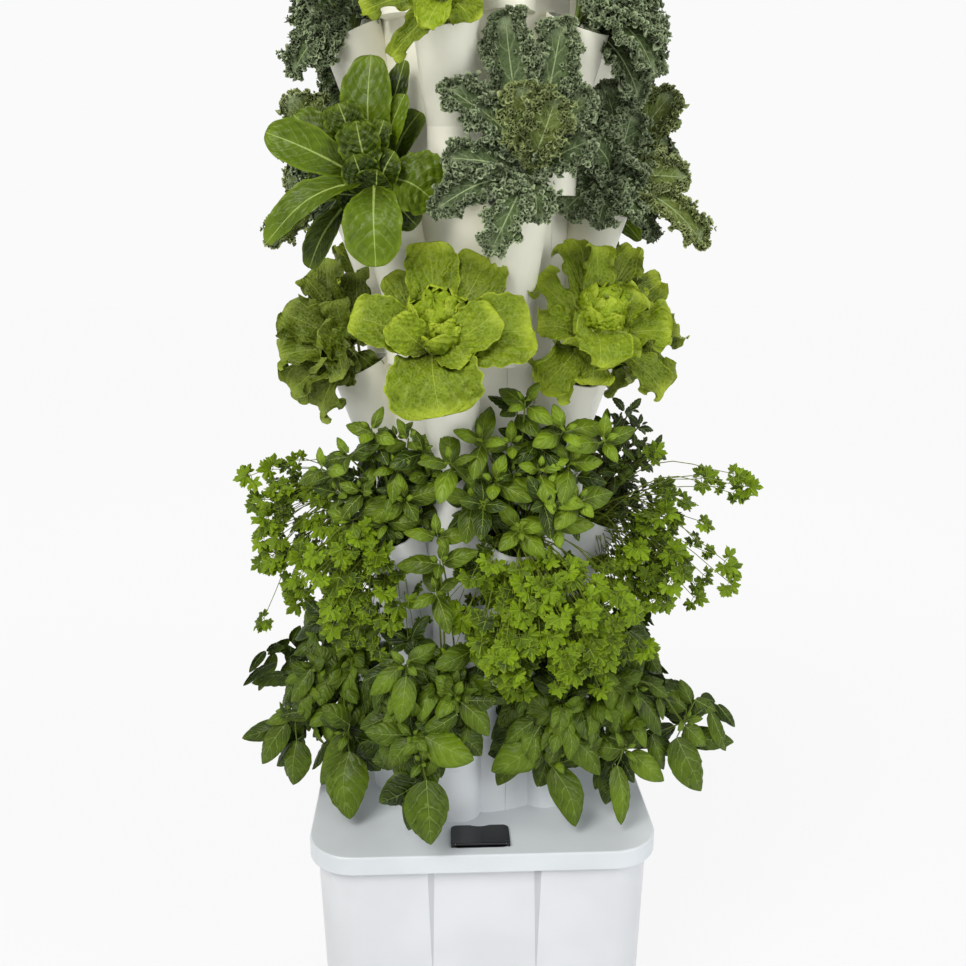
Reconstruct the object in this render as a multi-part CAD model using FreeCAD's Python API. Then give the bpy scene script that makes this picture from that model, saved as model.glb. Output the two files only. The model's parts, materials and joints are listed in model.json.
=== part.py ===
import FreeCAD, Part
import math
import os

# Vertical planter tower: six stacked tiers of six pockets on a lidded tank.
# Millimetres, +Z up, front towards -Y. The origin is on the floor below the
# tower's axis. Angles count from the front (-Y) towards +X.

# Tank
TANK_TOP_SIDE = 430.0        # outer side of the body just under its rim
TANK_BOTTOM_SIDE = 408.0     # outer side of the body at its floor
TANK_TOP_CORNER = 56.0       # corner radius at the rim
TANK_BOTTOM_CORNER = 46.0    # corner radius at the floor
TANK_WALL = 3.0
TANK_FLOOR = 4.0
TANK_HEIGHT = 315.0          # from the underside of the body to the top of its rim
RIM_WIDTH = 4.5              # how far the rim stands out from the body
RIM_THICKNESS = 3.0
FOOT_HEIGHT = 12.0           # how far the rubber feet stand below the body
FOOT_RADIUS = 21.0
FOOT_STEM_RADIUS = 6.0
FOOT_INSET = 158.0           # foot centre from the middle, along X and along Y
PANEL_TOP_WIDTH = 146.0      # recessed panel in the front and back walls
PANEL_BOTTOM_WIDTH = 156.0
PANEL_STEP_WIDTH = 10.0      # sloping side of the recess
PANEL_DEPTH = 7.0            # depth at the rim
PANEL_BASE = 62.0            # height of the recess's lower edge above the body's underside

# Lid
LID_SIDE = 448.0
LID_CORNER = 61.0
LID_PLATE = 3.0
LID_SKIRT = 24.0             # full height of the lid's edge
LID_SKIRT_WALL = 3.0
LID_EDGE_ROUND = 2.5
LID_HOLE_RADIUS = 111.0      # drain hole under the tower
GASKET_SECTION = 2.0         # width of the seal between the lid and the tank's rim
GASKET_HEIGHT = 1.0

# Fill hatch in the lid
HATCH_X = -4.5
HATCH_Y = -183.5
HATCH_WIDTH = 70.0
HATCH_DEPTH = 42.0
HATCH_CORNER = 8.0
HATCH_FRAME_WALL = 2.2
HATCH_FRAME_DROP = 12.0      # how far the frame reaches below the lid's top
HATCH_FLANGE = 3.2           # frame's flange that lies on the lid
HATCH_FLANGE_HEIGHT = 1.0
HATCH_FLAP = 2.6             # flap thickness
HATCH_SCOOP_RADIUS = 26.0    # finger scoop in the flap's rear edge
HATCH_SCOOP_DEPTH = 3.2
HINGE_PIN_RADIUS = 1.0
HINGE_BARREL_RADIUS = 2.1
HINGE_LIFT = 2.4             # hinge axis above the frame's flange
HINGE_LUG_WIDTH = 5.0
HINGE_GAP = 0.4              # between the flap and the lugs beside it

# Tower
TIERS = 6
POCKETS = 6
TIER_HEIGHT = 200.0
TIER_TURN = 15.0             # odd tiers turn one way from the front, even tiers the other
COLUMN_RADIUS = 123.0        # outside of the column in the valleys between pockets
TOWER_WALL = 2.4
MOUTH_REACH = 157.5          # centre of a pocket's mouth from the tower's axis
MOUTH_RADIUS = 38.0          # outside of the mouth's rim
MOUTH_TILT = 25.0            # the mouth leans outwards by this angle
MOUTH_DROP = 9.5             # centre of the mouth below the tier's top
WAIST_REACH = 124.0          # centre of the tube where its flare starts
WAIST_RADIUS = 31.0
WAIST_HEIGHT = 80.0
LOBE_REACH = 121.0           # centre of the tube at the tier's foot
LOBE_RADIUS = 30.0
SPIGOT_HEIGHT = 12.0         # ring that locates the next tier
SPIGOT_SHOULDER = 8.0
SPIGOT_WALL = 2.4
TIER_CLEARANCE = 0.3         # spigot in the tier above, all round
SEAM_GAP = 0.4               # between the two halves of a tier
LAP_ANGLE = 5.0              # lap behind a seam, to each side of it
LAP_BASE = 22.0
LAP_HEIGHT = 140.0
SEAT_DEPTH = 8.0             # ledge for the cup below the mouth, along the mouth's axis
SEAT_THICKNESS = 2.0
SEAT_BORE = 31.6

# Net cups and what stands in them
CUP_LIP_RADIUS = 34.2
CUP_LIP_THICKNESS = 2.0
CUP_TOP_RADIUS = 31.0
CUP_BOTTOM_RADIUS = 23.0
CUP_DEPTH = 52.0             # below the ledge
CUP_WALL = 1.6
CUP_SLOT_WIDTH = 5.0
CUP_SLOT_HEIGHT = 34.0
CUP_SLOTS = 6
PLUG_CLEARANCE = 0.4
PLUG_RECESS = 6.0            # plug's top below the cup's lip
STEM_RADIUS = 7.0
STEM_FOOT = 8.0              # straight root crown above the plug
STEM_TOP_RADIUS = 13.0
CROWN_STEPS = 12             # bands of a crown's turned outline

# Plants: (reach, lift, half_width, half_height) of the crown over the mouth's
# centre, and for a plant that spills over its rim a second, hanging crown
CROWNS = {
    "leaf_lettuce": [(226.0, 72.0, 86.0, 74.0)],
    "kale": [(232.0, 82.0, 96.0, 86.0)],
    "romaine": [(228.0, 84.0, 90.0, 88.0)],
    "butterhead": [(238.0, 78.0, 102.0, 80.0)],
    "ruffled_lettuce": [(235.0, 76.0, 98.0, 80.0)],
    "basil": [(226.0, 80.0, 88.0, 82.0)],
    "cilantro": [(236.0, 64.0, 85.0, 62.0), (290.0, -34.0, 58.0, 72.0)],
    "sweet_basil": [(238.0, 54.0, 88.0, 60.0), (268.0, -74.0, 68.0, 95.0)],
}
# plants of the pockets 0, 1, 2 of each tier, and of 3, 4, 5 opposite them
PLANTING = [
    ("sweet_basil", "sweet_basil", "sweet_basil"),
    ("basil", "cilantro", "basil"),
    ("butterhead", "ruffled_lettuce", "ruffled_lettuce"),
    ("kale", "kale", "romaine"),
    ("leaf_lettuce", "kale", "kale"),
    ("leaf_lettuce", "kale", "romaine"),
]

# Socket, riser and top
SOCKET_WALL = 3.0
SOCKET_RISE = 14.0
SOCKET_DROP = 18.0
SOCKET_CLEARANCE = 0.4
RISER_RADIUS = 10.0
RISER_WALL = 2.0
RISER_SOCKET_DEPTH = 22.0
RISER_CLEARANCE = 0.15
RISER_SLIP = 0.35            # foot of the riser in its sleeve, which it leaves when the tower is lifted
GUIDE_RING_WALL = 3.0
GUIDE_HEIGHT = 8.0
GUIDE_HUB_WALL = 4.0
GUIDE_SPOKES = 3
GUIDE_SPOKE_WIDTH = 8.0
SPRAY_RADIUS = 34.0
SPRAY_HEIGHT = 14.0
SPRAY_WALL = 2.0
SPRAY_HOLES = 12
SPRAY_HOLE_RADIUS = 1.5
CAP_WALL = 2.4
CAP_SIDE_HEIGHT = 34.0
CAP_CROWN = 10.0             # how far the cap's top is domed
CAP_KNOB_RADIUS = 17.0
CAP_KNOB_HEIGHT = 16.0

# Pump
PUMP_LENGTH = 78.0           # along Y
PUMP_WIDTH = 56.0            # along X
PUMP_HEIGHT = 58.0
PUMP_ROUND = 6.0
PUMP_LIFT = 9.0              # suction feet between pump and tank floor
PUMP_WALL = 3.0
PUMP_COVER_LENGTH = 22.0
PUMP_GAP = 0.3
IMPELLER_RADIUS = 15.0
IMPELLER_LENGTH = 14.0
IMPELLER_BLADES = 6
IMPELLER_HUB_RADIUS = 5.0
IMPELLER_BORE = 1.6
IMPELLER_CLEARANCE = 0.6
SHAFT_CLEARANCE = 0.06
SUCKER_RADIUS = 9.0
KNOB_RADIUS = 7.5
KNOB_LENGTH = 7.0
KNOB_STEM_RADIUS = 3.0
OUTLET_RADIUS = 9.0
OUTLET_WALL = 2.0
OUTLET_HEIGHT = 14.0
COUPLING_WALL = 2.5
COUPLING_STOP = 2.0

# Cable grommet in the tank's back wall (the cable itself is left out)
GROMMET_X = 150.0
GROMMET_DROP = 46.0          # below the tank's rim
GROMMET_BORE = 4.0
GROMMET_BODY = 7.5
GROMMET_FLANGE = 11.0
GROMMET_FLANGE_THICKNESS = 2.0

# Derived heights
TANK_BASE_Z = FOOT_HEIGHT
TANK_RIM_Z = TANK_BASE_Z + TANK_HEIGHT
LID_UNDER_Z = TANK_RIM_Z + GASKET_HEIGHT
LID_TOP_Z = LID_UNDER_Z + LID_PLATE
TOWER_TOP_Z = LID_TOP_Z + TIERS * TIER_HEIGHT
POCKET_PITCH = 360.0 / POCKETS
COLUMN_BORE = COLUMN_RADIUS - TOWER_WALL
SPIGOT_RADIUS = COLUMN_BORE - TIER_CLEARANCE
SPIGOT_BORE = SPIGOT_RADIUS - SPIGOT_WALL

Z_AXIS = FreeCAD.Vector(0, 0, 1)
ORIGIN = FreeCAD.Vector(0, 0, 0)


def vec(x, y, z):
    return FreeCAD.Vector(x, y, z)


def cylinder(radius, height, base=ORIGIN, direction=Z_AXIS):
    return Part.makeCylinder(radius, height, base, direction)


def ring(outer, inner, height, base=ORIGIN, direction=Z_AXIS):
    return cylinder(outer, height, base, direction).cut(cylinder(inner, height, base, direction))


def box(x0, x1, y0, y1, z0, z1):
    return Part.makeBox(x1 - x0, y1 - y0, z1 - z0, vec(x0, y0, z0))


def cone_between(start, end, start_radius, end_radius):
    """A cone or cylinder from one point to another."""
    way = end.sub(start)
    if abs(start_radius - end_radius) < 1e-6:
        return cylinder(start_radius, way.Length, start, way)
    return Part.makeCone(start_radius, end_radius, way.Length, start, way)


def turned(shape, angle):
    """A copy turned about the tower's axis."""
    copy = shape.copy()
    copy.rotate(ORIGIN, Z_AXIS, angle)
    return copy


def moved(shape, x=0.0, y=0.0, z=0.0):
    copy = shape.copy()
    copy.translate(vec(x, y, z))
    return copy


def fused(shapes):
    whole = shapes[0].multiFuse(shapes[1:]) if len(shapes) > 1 else shapes[0]
    return whole.removeSplitter()


def rounded_rectangle(width, depth, corner, z):
    """A closed wire, centred on the Z axis."""
    x = width / 2
    y = depth / 2
    bend = corner * (1 - math.sqrt(0.5))
    corners = [(1, -1), (1, 1), (-1, 1), (-1, -1)]
    edges = []
    last = None
    first = None
    for index, (sx, sy) in enumerate(corners):
        upright = vec(sx * x, sy * (y - corner), z)
        level = vec(sx * (x - corner), sy * y, z)
        middle = vec(sx * (x - bend), sy * (y - bend), z)
        start, end = (level, upright) if index % 2 == 0 else (upright, level)
        if last is not None:
            edges.append(Part.LineSegment(last, start).toShape())
        else:
            first = start
        edges.append(Part.Arc(start, middle, end).toShape())
        last = end
    edges.append(Part.LineSegment(last, first).toShape())
    return Part.Wire(edges)


def rounded_block(width, depth, corner, z0, z1):
    face = Part.Face(rounded_rectangle(width, depth, corner, z0))
    return face.extrude(vec(0, 0, z1 - z0))


def revolved(points):
    """A solid from (radius, z) points, turned about the Z axis."""
    corners = [vec(r, 0, z) for r, z in points]
    outline = Part.makePolygon(corners + [corners[0]])
    return Part.Face(outline).revolve(ORIGIN, Z_AXIS, 360)


# Tank

def tank_side_at(z, inset=0.0):
    """Outer side of the tapered body at height z, made smaller all round by inset."""
    share = (z - TANK_BASE_Z) / TANK_HEIGHT
    return TANK_BOTTOM_SIDE + (TANK_TOP_SIDE - TANK_BOTTOM_SIDE) * share - 2 * inset


def tank_form(inset, z0, z1):
    """The tapered body between two heights, made smaller all round by inset."""
    wires = []
    for z in (z0, z1):
        side = tank_side_at(z, inset)
        share = (z - TANK_BASE_Z) / TANK_HEIGHT
        corner = TANK_BOTTOM_CORNER + (TANK_TOP_CORNER - TANK_BOTTOM_CORNER) * share
        wires.append(rounded_rectangle(side, side, corner - inset, z))
    return Part.makeLoft(wires, True, True)


def panel_recess(grow):
    """Space of the upright recessed panel in the front wall, grown by grow."""
    z0 = TANK_BASE_Z + PANEL_BASE - grow
    z1 = TANK_RIM_Z
    back = -(TANK_TOP_SIDE / 2 - PANEL_DEPTH) + grow
    front = -(TANK_TOP_SIDE / 2 + 1.0)
    wires = []
    for z, width in ((z0, PANEL_BOTTOM_WIDTH), (z1, PANEL_TOP_WIDTH)):
        half = width / 2 + grow
        reach = half + PANEL_STEP_WIDTH * (-front + back) / PANEL_DEPTH - PANEL_STEP_WIDTH
        points = [vec(-reach, front, z), vec(reach, front, z),
                  vec(half - PANEL_STEP_WIDTH, back, z), vec(-half + PANEL_STEP_WIDTH, back, z)]
        wires.append(Part.makePolygon(points + [points[0]]))
    return Part.makeLoft(wires, True, True)


def grommet_base():
    """A point on the axis of the cable grommet, in the tank's back wall."""
    z = TANK_RIM_Z - GROMMET_DROP
    return vec(GROMMET_X, tank_side_at(z) / 2, z)


def make_tank():
    body = tank_form(0.0, TANK_BASE_Z, TANK_RIM_Z)
    cavity = tank_form(TANK_WALL, TANK_BASE_Z + TANK_FLOOR, TANK_RIM_Z)
    for angle in (0.0, 180.0):
        body = body.cut(turned(panel_recess(0.0), angle))
        cavity = cavity.cut(turned(panel_recess(TANK_WALL), angle))
    side = TANK_TOP_SIDE + 2 * RIM_WIDTH
    rim = rounded_block(side, side, TANK_TOP_CORNER + RIM_WIDTH, TANK_RIM_Z - RIM_THICKNESS, TANK_RIM_Z)
    shell = fused([body, rim]).cut(cavity)
    holes = []
    for x, y in foot_places():
        holes.append(cylinder(FOOT_STEM_RADIUS + RISER_CLEARANCE, TANK_FLOOR, vec(x, y, TANK_BASE_Z)))
    spot = grommet_base()
    reach = PANEL_DEPTH + TANK_WALL
    holes.append(cylinder(GROMMET_BODY + RISER_CLEARANCE, 2 * reach, vec(spot.x, spot.y - reach, spot.z),
                          vec(0, 1, 0)))
    return shell.cut(Part.makeCompound(holes))


def foot_places():
    return [(sx * FOOT_INSET, sy * FOOT_INSET) for sx in (-1, 1) for sy in (-1, 1)]


def make_feet():
    feet = []
    for x, y in foot_places():
        pad = Part.makeCone(FOOT_RADIUS - 3.0, FOOT_RADIUS, FOOT_HEIGHT, vec(x, y, 0))
        stem = cylinder(FOOT_STEM_RADIUS, TANK_FLOOR, vec(x, y, FOOT_HEIGHT))
        feet.append(fused([pad, stem]))
    return feet


def make_grommet():
    spot = grommet_base()
    way = vec(0, 1, 0)
    wall_inside = spot.y - TANK_WALL
    inner = cylinder(GROMMET_FLANGE, GROMMET_FLANGE_THICKNESS,
                     vec(spot.x, wall_inside - GROMMET_FLANGE_THICKNESS - 1.0, spot.z), way)
    outer = cylinder(GROMMET_FLANGE, GROMMET_FLANGE_THICKNESS, vec(spot.x, spot.y + 1.0, spot.z), way)
    length = outer.BoundBox.YMax - inner.BoundBox.YMin
    body = cylinder(GROMMET_BODY, length, vec(spot.x, inner.BoundBox.YMin, spot.z), way)
    bore = cylinder(GROMMET_BORE, length, vec(spot.x, inner.BoundBox.YMin, spot.z), way)
    return fused([inner, outer, body]).cut(bore)


# Lid, gasket, hatch and the socket that carries the tower

def make_lid():
    block = rounded_block(LID_SIDE, LID_SIDE, LID_CORNER, LID_TOP_Z - LID_SKIRT, LID_TOP_Z)
    edges = [e for e in block.Edges if e.BoundBox.ZMin > LID_TOP_Z - 0.01]
    block = block.makeFillet(LID_EDGE_ROUND, edges)
    inner_side = LID_SIDE - 2 * LID_SKIRT_WALL
    hollow = rounded_block(inner_side, inner_side, LID_CORNER - LID_SKIRT_WALL,
                           LID_TOP_Z - LID_SKIRT, LID_UNDER_Z)
    drain = cylinder(LID_HOLE_RADIUS, LID_PLATE, vec(0, 0, LID_UNDER_Z))
    slot = moved(rounded_block(HATCH_WIDTH, HATCH_DEPTH, HATCH_CORNER, LID_UNDER_Z, LID_TOP_Z),
                 HATCH_X, HATCH_Y)
    return block.cut(Part.makeCompound([hollow, drain, slot]))


def make_gasket():
    side = TANK_TOP_SIDE + 2 * RIM_WIDTH - 1.0
    corner = TANK_TOP_CORNER + RIM_WIDTH - 0.5
    inner = side - 2 * GASKET_SECTION
    outer_block = rounded_block(side, side, corner, TANK_RIM_Z, LID_UNDER_Z)
    inner_block = rounded_block(inner, inner, corner - GASKET_SECTION, TANK_RIM_Z, LID_UNDER_Z)
    return outer_block.cut(inner_block)


def hatch_frame_outer():
    """Width, depth and corner radius of the frame where it passes the lid."""
    return (HATCH_WIDTH - 2 * TIER_CLEARANCE, HATCH_DEPTH - 2 * TIER_CLEARANCE, HATCH_CORNER - TIER_CLEARANCE)


def hatch_top_z():
    return LID_TOP_Z + HATCH_FLANGE_HEIGHT


def hinge_axis():
    """A point on the hatch's hinge axis, which runs along X."""
    depth = hatch_frame_outer()[1]
    return vec(HATCH_X, HATCH_Y - depth / 2, hatch_top_z() + HINGE_LIFT)


def flap_width():
    return hatch_frame_outer()[0] + 2 * HATCH_FLANGE - 1.0


def barrel_length():
    return flap_width() - 2 * (HINGE_LUG_WIDTH + HINGE_GAP)


def hinge_rod(radius, length):
    axis = hinge_axis()
    return cylinder(radius, length, vec(HATCH_X - length / 2, axis.y, axis.z), vec(1, 0, 0))


def make_hatch_frame():
    width, depth, corner = hatch_frame_outer()
    tube = rounded_block(width, depth, corner, LID_TOP_Z - HATCH_FRAME_DROP, hatch_top_z())
    flange = rounded_block(width + 2 * HATCH_FLANGE, depth + 2 * HATCH_FLANGE, corner + HATCH_FLANGE,
                           LID_TOP_Z, hatch_top_z())
    opening = rounded_block(width - 2 * HATCH_FRAME_WALL, depth - 2 * HATCH_FRAME_WALL,
                            corner - HATCH_FRAME_WALL, LID_TOP_Z - HATCH_FRAME_DROP, hatch_top_z())
    frame = moved(fused([tube, flange]).cut(opening), HATCH_X, HATCH_Y)
    axis = hinge_axis()
    lugs = []
    for side in (-1, 1):
        x = HATCH_X + side * (flap_width() - HINGE_LUG_WIDTH) / 2
        start = x - HINGE_LUG_WIDTH / 2
        eye = cylinder(HINGE_BARREL_RADIUS, HINGE_LUG_WIDTH, vec(start, axis.y, axis.z), vec(1, 0, 0))
        foot = box(start, start + HINGE_LUG_WIDTH, axis.y - HINGE_BARREL_RADIUS,
                   axis.y + HINGE_BARREL_RADIUS, LID_TOP_Z, axis.z)
        lugs += [eye, foot]
    return fused([frame] + lugs).cut(hinge_rod(HINGE_PIN_RADIUS, flap_width()))


def make_hinge_pin():
    return hinge_rod(HINGE_PIN_RADIUS, flap_width() - 1.0)


def make_hatch_flap():
    """Flap over the frame: a plate with a finger scoop at the back and a barrel at the front."""
    depth = hatch_frame_outer()[1]
    z0 = hatch_top_z()
    z1 = z0 + HATCH_FLAP
    axis = hinge_axis()
    back = HATCH_Y + depth / 2 + HATCH_FLANGE - 0.5
    front = axis.y + HINGE_BARREL_RADIUS + 2 * HINGE_GAP
    corner = HATCH_CORNER
    whole = moved(rounded_block(flap_width(), 2 * (back - front), corner, z0, z1), HATCH_X, front)
    plate = whole.common(box(-LID_SIDE, LID_SIDE, front, back, z0, z1))
    half = barrel_length() / 2
    web = box(HATCH_X - half, HATCH_X + half, axis.y, front + 1.0, z0, z1)
    scoop = cylinder(HATCH_SCOOP_RADIUS, HATCH_FLAP,
                     vec(HATCH_X, back + HATCH_SCOOP_RADIUS - HATCH_SCOOP_DEPTH, z0))
    barrel = hinge_rod(HINGE_BARREL_RADIUS, barrel_length())
    bore = hinge_rod(HINGE_PIN_RADIUS + SHAFT_CLEARANCE, barrel_length())
    return fused([plate.cut(scoop), web, barrel]).cut(bore)


def make_socket():
    """Flanged ring in the lid's drain hole; its upstand locates the lowest tier."""
    outer = LID_HOLE_RADIUS - SOCKET_CLEARANCE
    inner = outer - SOCKET_WALL
    rise = LID_TOP_Z + SOCKET_RISE
    top = SPIGOT_RADIUS
    return revolved([(inner, LID_UNDER_Z - SOCKET_DROP), (outer, LID_UNDER_Z - SOCKET_DROP),
                     (outer, LID_TOP_Z), (top, LID_TOP_Z), (top, rise),
                     (top - SOCKET_WALL, rise), (top - SOCKET_WALL, LID_TOP_Z + SOCKET_WALL),
                     (inner, LID_TOP_Z + SOCKET_WALL)])


# Tiers

def tier_base(tier):
    """Height of the foot of a tier, counted from 1."""
    return LID_TOP_Z + (tier - 1) * TIER_HEIGHT


def tier_turn(tier):
    return -TIER_TURN if tier % 2 else TIER_TURN


def pocket_angle(tier, pocket):
    return tier_turn(tier) + pocket * POCKET_PITCH


def mouth_centre():
    """Centre of the mouth of a pocket that faces the front, above the tier's foot."""
    return vec(0, -MOUTH_REACH, TIER_HEIGHT - MOUTH_DROP)


def mouth_axis():
    lean = math.radians(MOUTH_TILT)
    return vec(0, -math.sin(lean), math.cos(lean))


def along_mouth(depth):
    """The point on the mouth's axis that lies depth below the mouth."""
    return mouth_centre().sub(mouth_axis().multiply(depth))


def pocket_tube(inset, floor):
    """Flared tube of one pocket, made smaller by inset, closed below at floor."""
    foot = vec(0, -LOBE_REACH, 0)
    waist = vec(0, -WAIST_REACH, WAIST_HEIGHT)
    mouth = mouth_centre()
    lower_way = waist.sub(foot).normalize()
    upper_way = mouth.sub(waist).normalize()
    start = foot.sub(lower_way.multiply(6.0))
    beyond = mouth.add(vec(upper_way.x, upper_way.y, upper_way.z).multiply(30.0))
    growth = (MOUTH_RADIUS - WAIST_RADIUS) / mouth.sub(waist).Length
    lower = cone_between(start, waist, LOBE_RADIUS - inset, WAIST_RADIUS - inset)
    bend = Part.makeSphere(WAIST_RADIUS - inset, waist)
    upper = cone_between(waist, beyond, WAIST_RADIUS - inset, MOUTH_RADIUS - inset + growth * 30.0)
    tube = lower.multiFuse([bend, upper])
    reach = MOUTH_REACH + 3 * MOUTH_RADIUS
    below = box(-reach, reach, -reach, reach, -reach, floor)
    return tube.cut(below)


def above_mouth():
    """Everything beyond the mouth's plane, for trimming a tube."""
    size = 4 * MOUTH_RADIUS
    block = Part.makeBox(size, size, size, vec(-size / 2, -size / 2, 0))
    block.rotate(ORIGIN, vec(1, 0, 0), MOUTH_TILT)
    block.translate(mouth_centre())
    return block


def make_tier():
    """One whole tier, its first pocket at the front and its foot at height 0."""
    tube = pocket_tube(0.0, 0.0).cut(above_mouth())
    keep_out = cylinder(COLUMN_RADIUS + TIER_CLEARANCE, TIER_HEIGHT, vec(0, 0, TIER_HEIGHT))
    tube = tube.cut(keep_out)
    hollow = pocket_tube(TOWER_WALL, TOWER_WALL)
    seat = ring(MOUTH_RADIUS - TOWER_WALL / 2 - 0.5, SEAT_BORE, SEAT_THICKNESS,
                along_mouth(SEAT_DEPTH + SEAT_THICKNESS), mouth_axis())
    column = cylinder(COLUMN_RADIUS, TIER_HEIGHT)
    angles = [pocket * POCKET_PITCH for pocket in range(POCKETS)]
    outside = column.multiFuse([turned(tube, a) for a in angles])
    shell = outside.cut(Part.makeCompound([turned(hollow, a) for a in angles]))
    shell = shell.cut(cylinder(COLUMN_BORE, TIER_HEIGHT))
    spigot = revolved([(SPIGOT_BORE, TIER_HEIGHT - SPIGOT_SHOULDER),
                       (COLUMN_BORE + TOWER_WALL / 4, TIER_HEIGHT - SPIGOT_SHOULDER),
                       (COLUMN_BORE + TOWER_WALL / 4, TIER_HEIGHT - TOWER_WALL / 2),
                       (SPIGOT_RADIUS, TIER_HEIGHT - TOWER_WALL / 2),
                       (SPIGOT_RADIUS, TIER_HEIGHT + SPIGOT_HEIGHT),
                       (SPIGOT_BORE, TIER_HEIGHT + SPIGOT_HEIGHT)])
    seats = [turned(seat, a) for a in angles]
    return shell.multiFuse([spigot] + seats)


def sector(outer, inner, angle0, angle1, z0, z1):
    """A curved strip between two radii, two angles and two heights."""
    strip = ring(outer, inner, z1 - z0, vec(0, 0, z0))
    keep = Part.makeCylinder(outer + 1, z1 - z0, vec(0, 0, z0), Z_AXIS, angle1 - angle0)
    keep.rotate(ORIGIN, Z_AXIS, angle0 - 90.0)
    return strip.common(keep)


def split_tier(whole):
    """The two halves of a tier, parted in two opposite valleys, with a lap behind each seam."""
    seam = POCKET_PITCH / 2
    reach = MOUTH_REACH + 2 * MOUTH_RADIUS
    halves = []
    for side in (0, 1):
        half_space = box(-reach, reach, SEAM_GAP / 2, reach, -1.0, 2 * TIER_HEIGHT)
        half_space.rotate(ORIGIN, Z_AXIS, seam - 90.0 + 180.0 * side)
        half = whole.common(half_space)
        lap_at = seam + 180.0 * side
        own = sector(COLUMN_BORE + TOWER_WALL / 4, SPIGOT_BORE, lap_at, lap_at + LAP_ANGLE,
                     LAP_BASE, LAP_BASE + LAP_HEIGHT)
        across = sector(SPIGOT_RADIUS, SPIGOT_BORE, lap_at - LAP_ANGLE, lap_at + LAP_ANGLE,
                        LAP_BASE, LAP_BASE + LAP_HEIGHT)
        halves.append(half.multiFuse([own, across]).removeSplitter())
    return halves


# Net cups, plugs and plants, for a pocket at the front with the tier's foot at 0

def make_cup():
    axis = mouth_axis()
    seat = along_mouth(SEAT_DEPTH)
    bottom = along_mouth(SEAT_DEPTH + CUP_DEPTH)
    body = cone_between(bottom, seat, CUP_BOTTOM_RADIUS, CUP_TOP_RADIUS)
    lip = cylinder(CUP_LIP_RADIUS, CUP_LIP_THICKNESS, seat, axis)
    inside = cone_between(along_mouth(SEAT_DEPTH + CUP_DEPTH - CUP_WALL), along_mouth(SEAT_DEPTH),
                          CUP_BOTTOM_RADIUS - CUP_WALL, CUP_TOP_RADIUS - CUP_WALL)
    throat = cylinder(CUP_TOP_RADIUS - CUP_WALL, CUP_LIP_THICKNESS, seat, axis)
    cup = fused([body, lip]).cut(Part.makeCompound([inside, throat]))
    slots = []
    for index in range(CUP_SLOTS // 2):
        slot = box(-CUP_SLOT_WIDTH / 2, CUP_SLOT_WIDTH / 2, -CUP_LIP_RADIUS, CUP_LIP_RADIUS,
                   0, CUP_SLOT_HEIGHT)
        slot.rotate(ORIGIN, Z_AXIS, index * 360.0 / CUP_SLOTS)
        slot.rotate(ORIGIN, vec(1, 0, 0), MOUTH_TILT)
        slot.translate(along_mouth(SEAT_DEPTH + CUP_DEPTH - CUP_WALL * 3))
        slots.append(slot)
    return cup.cut(Part.makeCompound(slots))


def plug_top_depth():
    return SEAT_DEPTH - CUP_LIP_THICKNESS + PLUG_RECESS


def make_plug():
    """Growing medium that fills the cup from its floor."""
    floor_depth = SEAT_DEPTH + CUP_DEPTH - CUP_WALL
    narrow = CUP_BOTTOM_RADIUS - CUP_WALL
    wide = CUP_TOP_RADIUS - CUP_WALL
    share = (floor_depth - plug_top_depth()) / (floor_depth - SEAT_DEPTH)
    top_radius = narrow + (wide - narrow) * share - PLUG_CLEARANCE
    return cone_between(along_mouth(floor_depth), along_mouth(plug_top_depth()),
                        narrow - PLUG_CLEARANCE, top_radius)


def leafy_crown(half_width, half_height, centre):
    """Turned form of a leafy head, with an upright axis through centre."""
    points = []
    for index in range(CROWN_STEPS + 1):
        angle = math.pi * index / CROWN_STEPS - math.pi / 2
        points.append((max(0.0, half_width * math.cos(angle)), half_height * math.sin(angle)))
    return moved(revolved(points), centre.x, centre.y, centre.z)


def make_plant(kind):
    """Simple closed form of one plant: root crown, stem and leafy crowns."""
    axis = mouth_axis()
    base = along_mouth(plug_top_depth())
    neck = base.add(vec(axis.x, axis.y, axis.z).multiply(STEM_FOOT))
    mouth = mouth_centre()
    shapes = [cylinder(STEM_RADIUS, STEM_FOOT, base, axis), Part.makeSphere(STEM_RADIUS, neck)]
    for reach, lift, half_width, half_height in CROWNS[kind]:
        centre = vec(0, -reach, mouth.z + lift)
        shapes.append(leafy_crown(half_width, half_height, centre))
    first = CROWNS[kind][0]
    shapes.append(cone_between(neck, vec(0, -first[0], mouth.z + first[1]), STEM_RADIUS, STEM_TOP_RADIUS))
    return fused(shapes)


# Riser, spray head and cap

def guide_base_z():
    return TOWER_TOP_Z + SPIGOT_HEIGHT - GUIDE_HEIGHT


def riser_bottom_z():
    return pump_outlet_z() + OUTLET_HEIGHT + COUPLING_STOP


def spray_base_z():
    return guide_base_z() + GUIDE_HEIGHT


def make_riser():
    length = spray_base_z() + SPRAY_HEIGHT / 2 - riser_bottom_z()
    return ring(RISER_RADIUS, RISER_RADIUS - RISER_WALL, length, vec(0, 0, riser_bottom_z()))


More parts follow.
